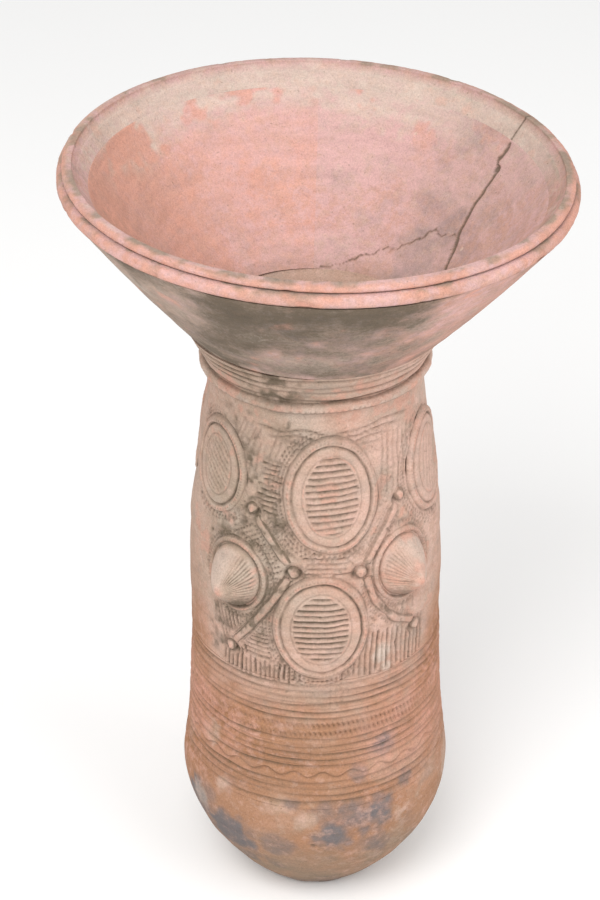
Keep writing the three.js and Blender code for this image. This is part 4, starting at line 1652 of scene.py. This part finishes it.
class DRUM_OT_stage(bpy.types.Operator):
    """Make the floor, the lights and the camera"""

    bl_idname = "drum.stage"
    bl_label = "Stage"
    bl_options = {"REGISTER", "UNDO"}

    def execute(self, context):
        scene = context.scene
        given = scene.goblet_drum_stage
        scene.view_settings.view_transform = "Standard"
        world = bpy.data.worlds.new("soft_room")
        scene.world = world
        world.use_nodes = True
        world.node_tree.nodes["Background"].inputs[0].default_value = (1.0, 0.995, 0.985, 1.0)
        world.node_tree.nodes["Background"].inputs[1].default_value = given.sky_strength
        mesh = bpy.data.meshes.new("floor")
        side = 8.0
        floor_corners = [(-side, -side, 0), (side, -side, 0), (side, side, 0), (-side, side, 0)]
        mesh.from_pydata(floor_corners, [], [(0, 1, 2, 3)])
        floor = bpy.data.objects.new("floor", mesh)
        scene.collection.objects.link(floor)
        paint = bpy.data.materials.new("pale_floor")
        paint.use_nodes = True
        shader = paint.node_tree.nodes["Principled BSDF"]
        shader.inputs["Base Color"].default_value = (*given.floor_colour, 1.0)
        shader.inputs["Roughness"].default_value = 0.9
        shader.inputs["Specular IOR Level"].default_value = 0.1
        mesh.materials.append(paint)
        for name, place, size, power in (
            ("key_light", (-0.7, -1.7, 2.3), 1.6, given.key_power),
            ("fill_light", (1.7, -1.3, 1.6), 1.8, given.key_power * 0.45),
        ):
            light = bpy.data.lights.new(name, "AREA")
            light.size, light.energy = size, power
            lamp = bpy.data.objects.new(name, light)
            scene.collection.objects.link(lamp)
            lamp.location = place
            aim = -(lamp.location.copy())
            aim.z += 0.28
            lamp.rotation_euler = aim.to_track_quat("-Z", "Y").to_euler()
        camera = bpy.data.cameras.new("camera")
        camera.lens, camera.sensor_width = given.lens, 36.0
        camera.shift_x = given.sideways
        camera.clip_end = 50.0
        eye = bpy.data.objects.new("camera", camera)
        scene.collection.objects.link(eye)
        eye.location = (0.0, -given.camera_distance, given.camera_height)
        eye.rotation_euler = (given.camera_tilt, 0.0, 0.0)
        scene.camera = eye
        return {"FINISHED"}


class DRUM_PT_panel(bpy.types.Panel):
    """The drum's pieces and settings"""

    bl_idname = "DRUM_PT_panel"
    bl_label = "Goblet drum"
    bl_space_type = "VIEW_3D"
    bl_region_type = "UI"
    bl_category = "Goblet drum"

    def draw(self, context):
        column = self.layout.column()
        for operator in OPERATORS:
            column.operator(operator.bl_idname)
        for group in (context.scene.goblet_drum, context.scene.goblet_drum_stage):
            for name in group.__annotations__:
                column.prop(group, name)


OPERATORS = (
    DRUM_OT_base,
    DRUM_OT_belt,
    DRUM_OT_barrel,
    DRUM_OT_neck,
    DRUM_OT_mouth,
    DRUM_OT_rim,
    DRUM_OT_medallions,
    DRUM_OT_cones,
    DRUM_OT_pellets,
    DRUM_OT_ridges,
    DRUM_OT_stage,
)
CLASSES = (DrumSettings, DrumStageSettings, *OPERATORS, DRUM_PT_panel)


def register():
    """Adds the classes and gives each scene the two groups of settings."""
    for item in CLASSES:
        bpy.utils.register_class(item)
    bpy.types.Scene.goblet_drum = bpy.props.PointerProperty(type=DrumSettings)
    bpy.types.Scene.goblet_drum_stage = bpy.props.PointerProperty(type=DrumStageSettings)


def unregister():
    """Takes away what register added."""
    del bpy.types.Scene.goblet_drum_stage
    del bpy.types.Scene.goblet_drum
    for item in reversed(CLASSES):
        bpy.utils.unregister_class(item)


def main():
    """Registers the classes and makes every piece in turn."""
    register()
    for operator in OPERATORS:
        group, name = operator.bl_idname.split(".")
        getattr(getattr(bpy.ops, group), name)()


if __name__ == "__main__":
    main()
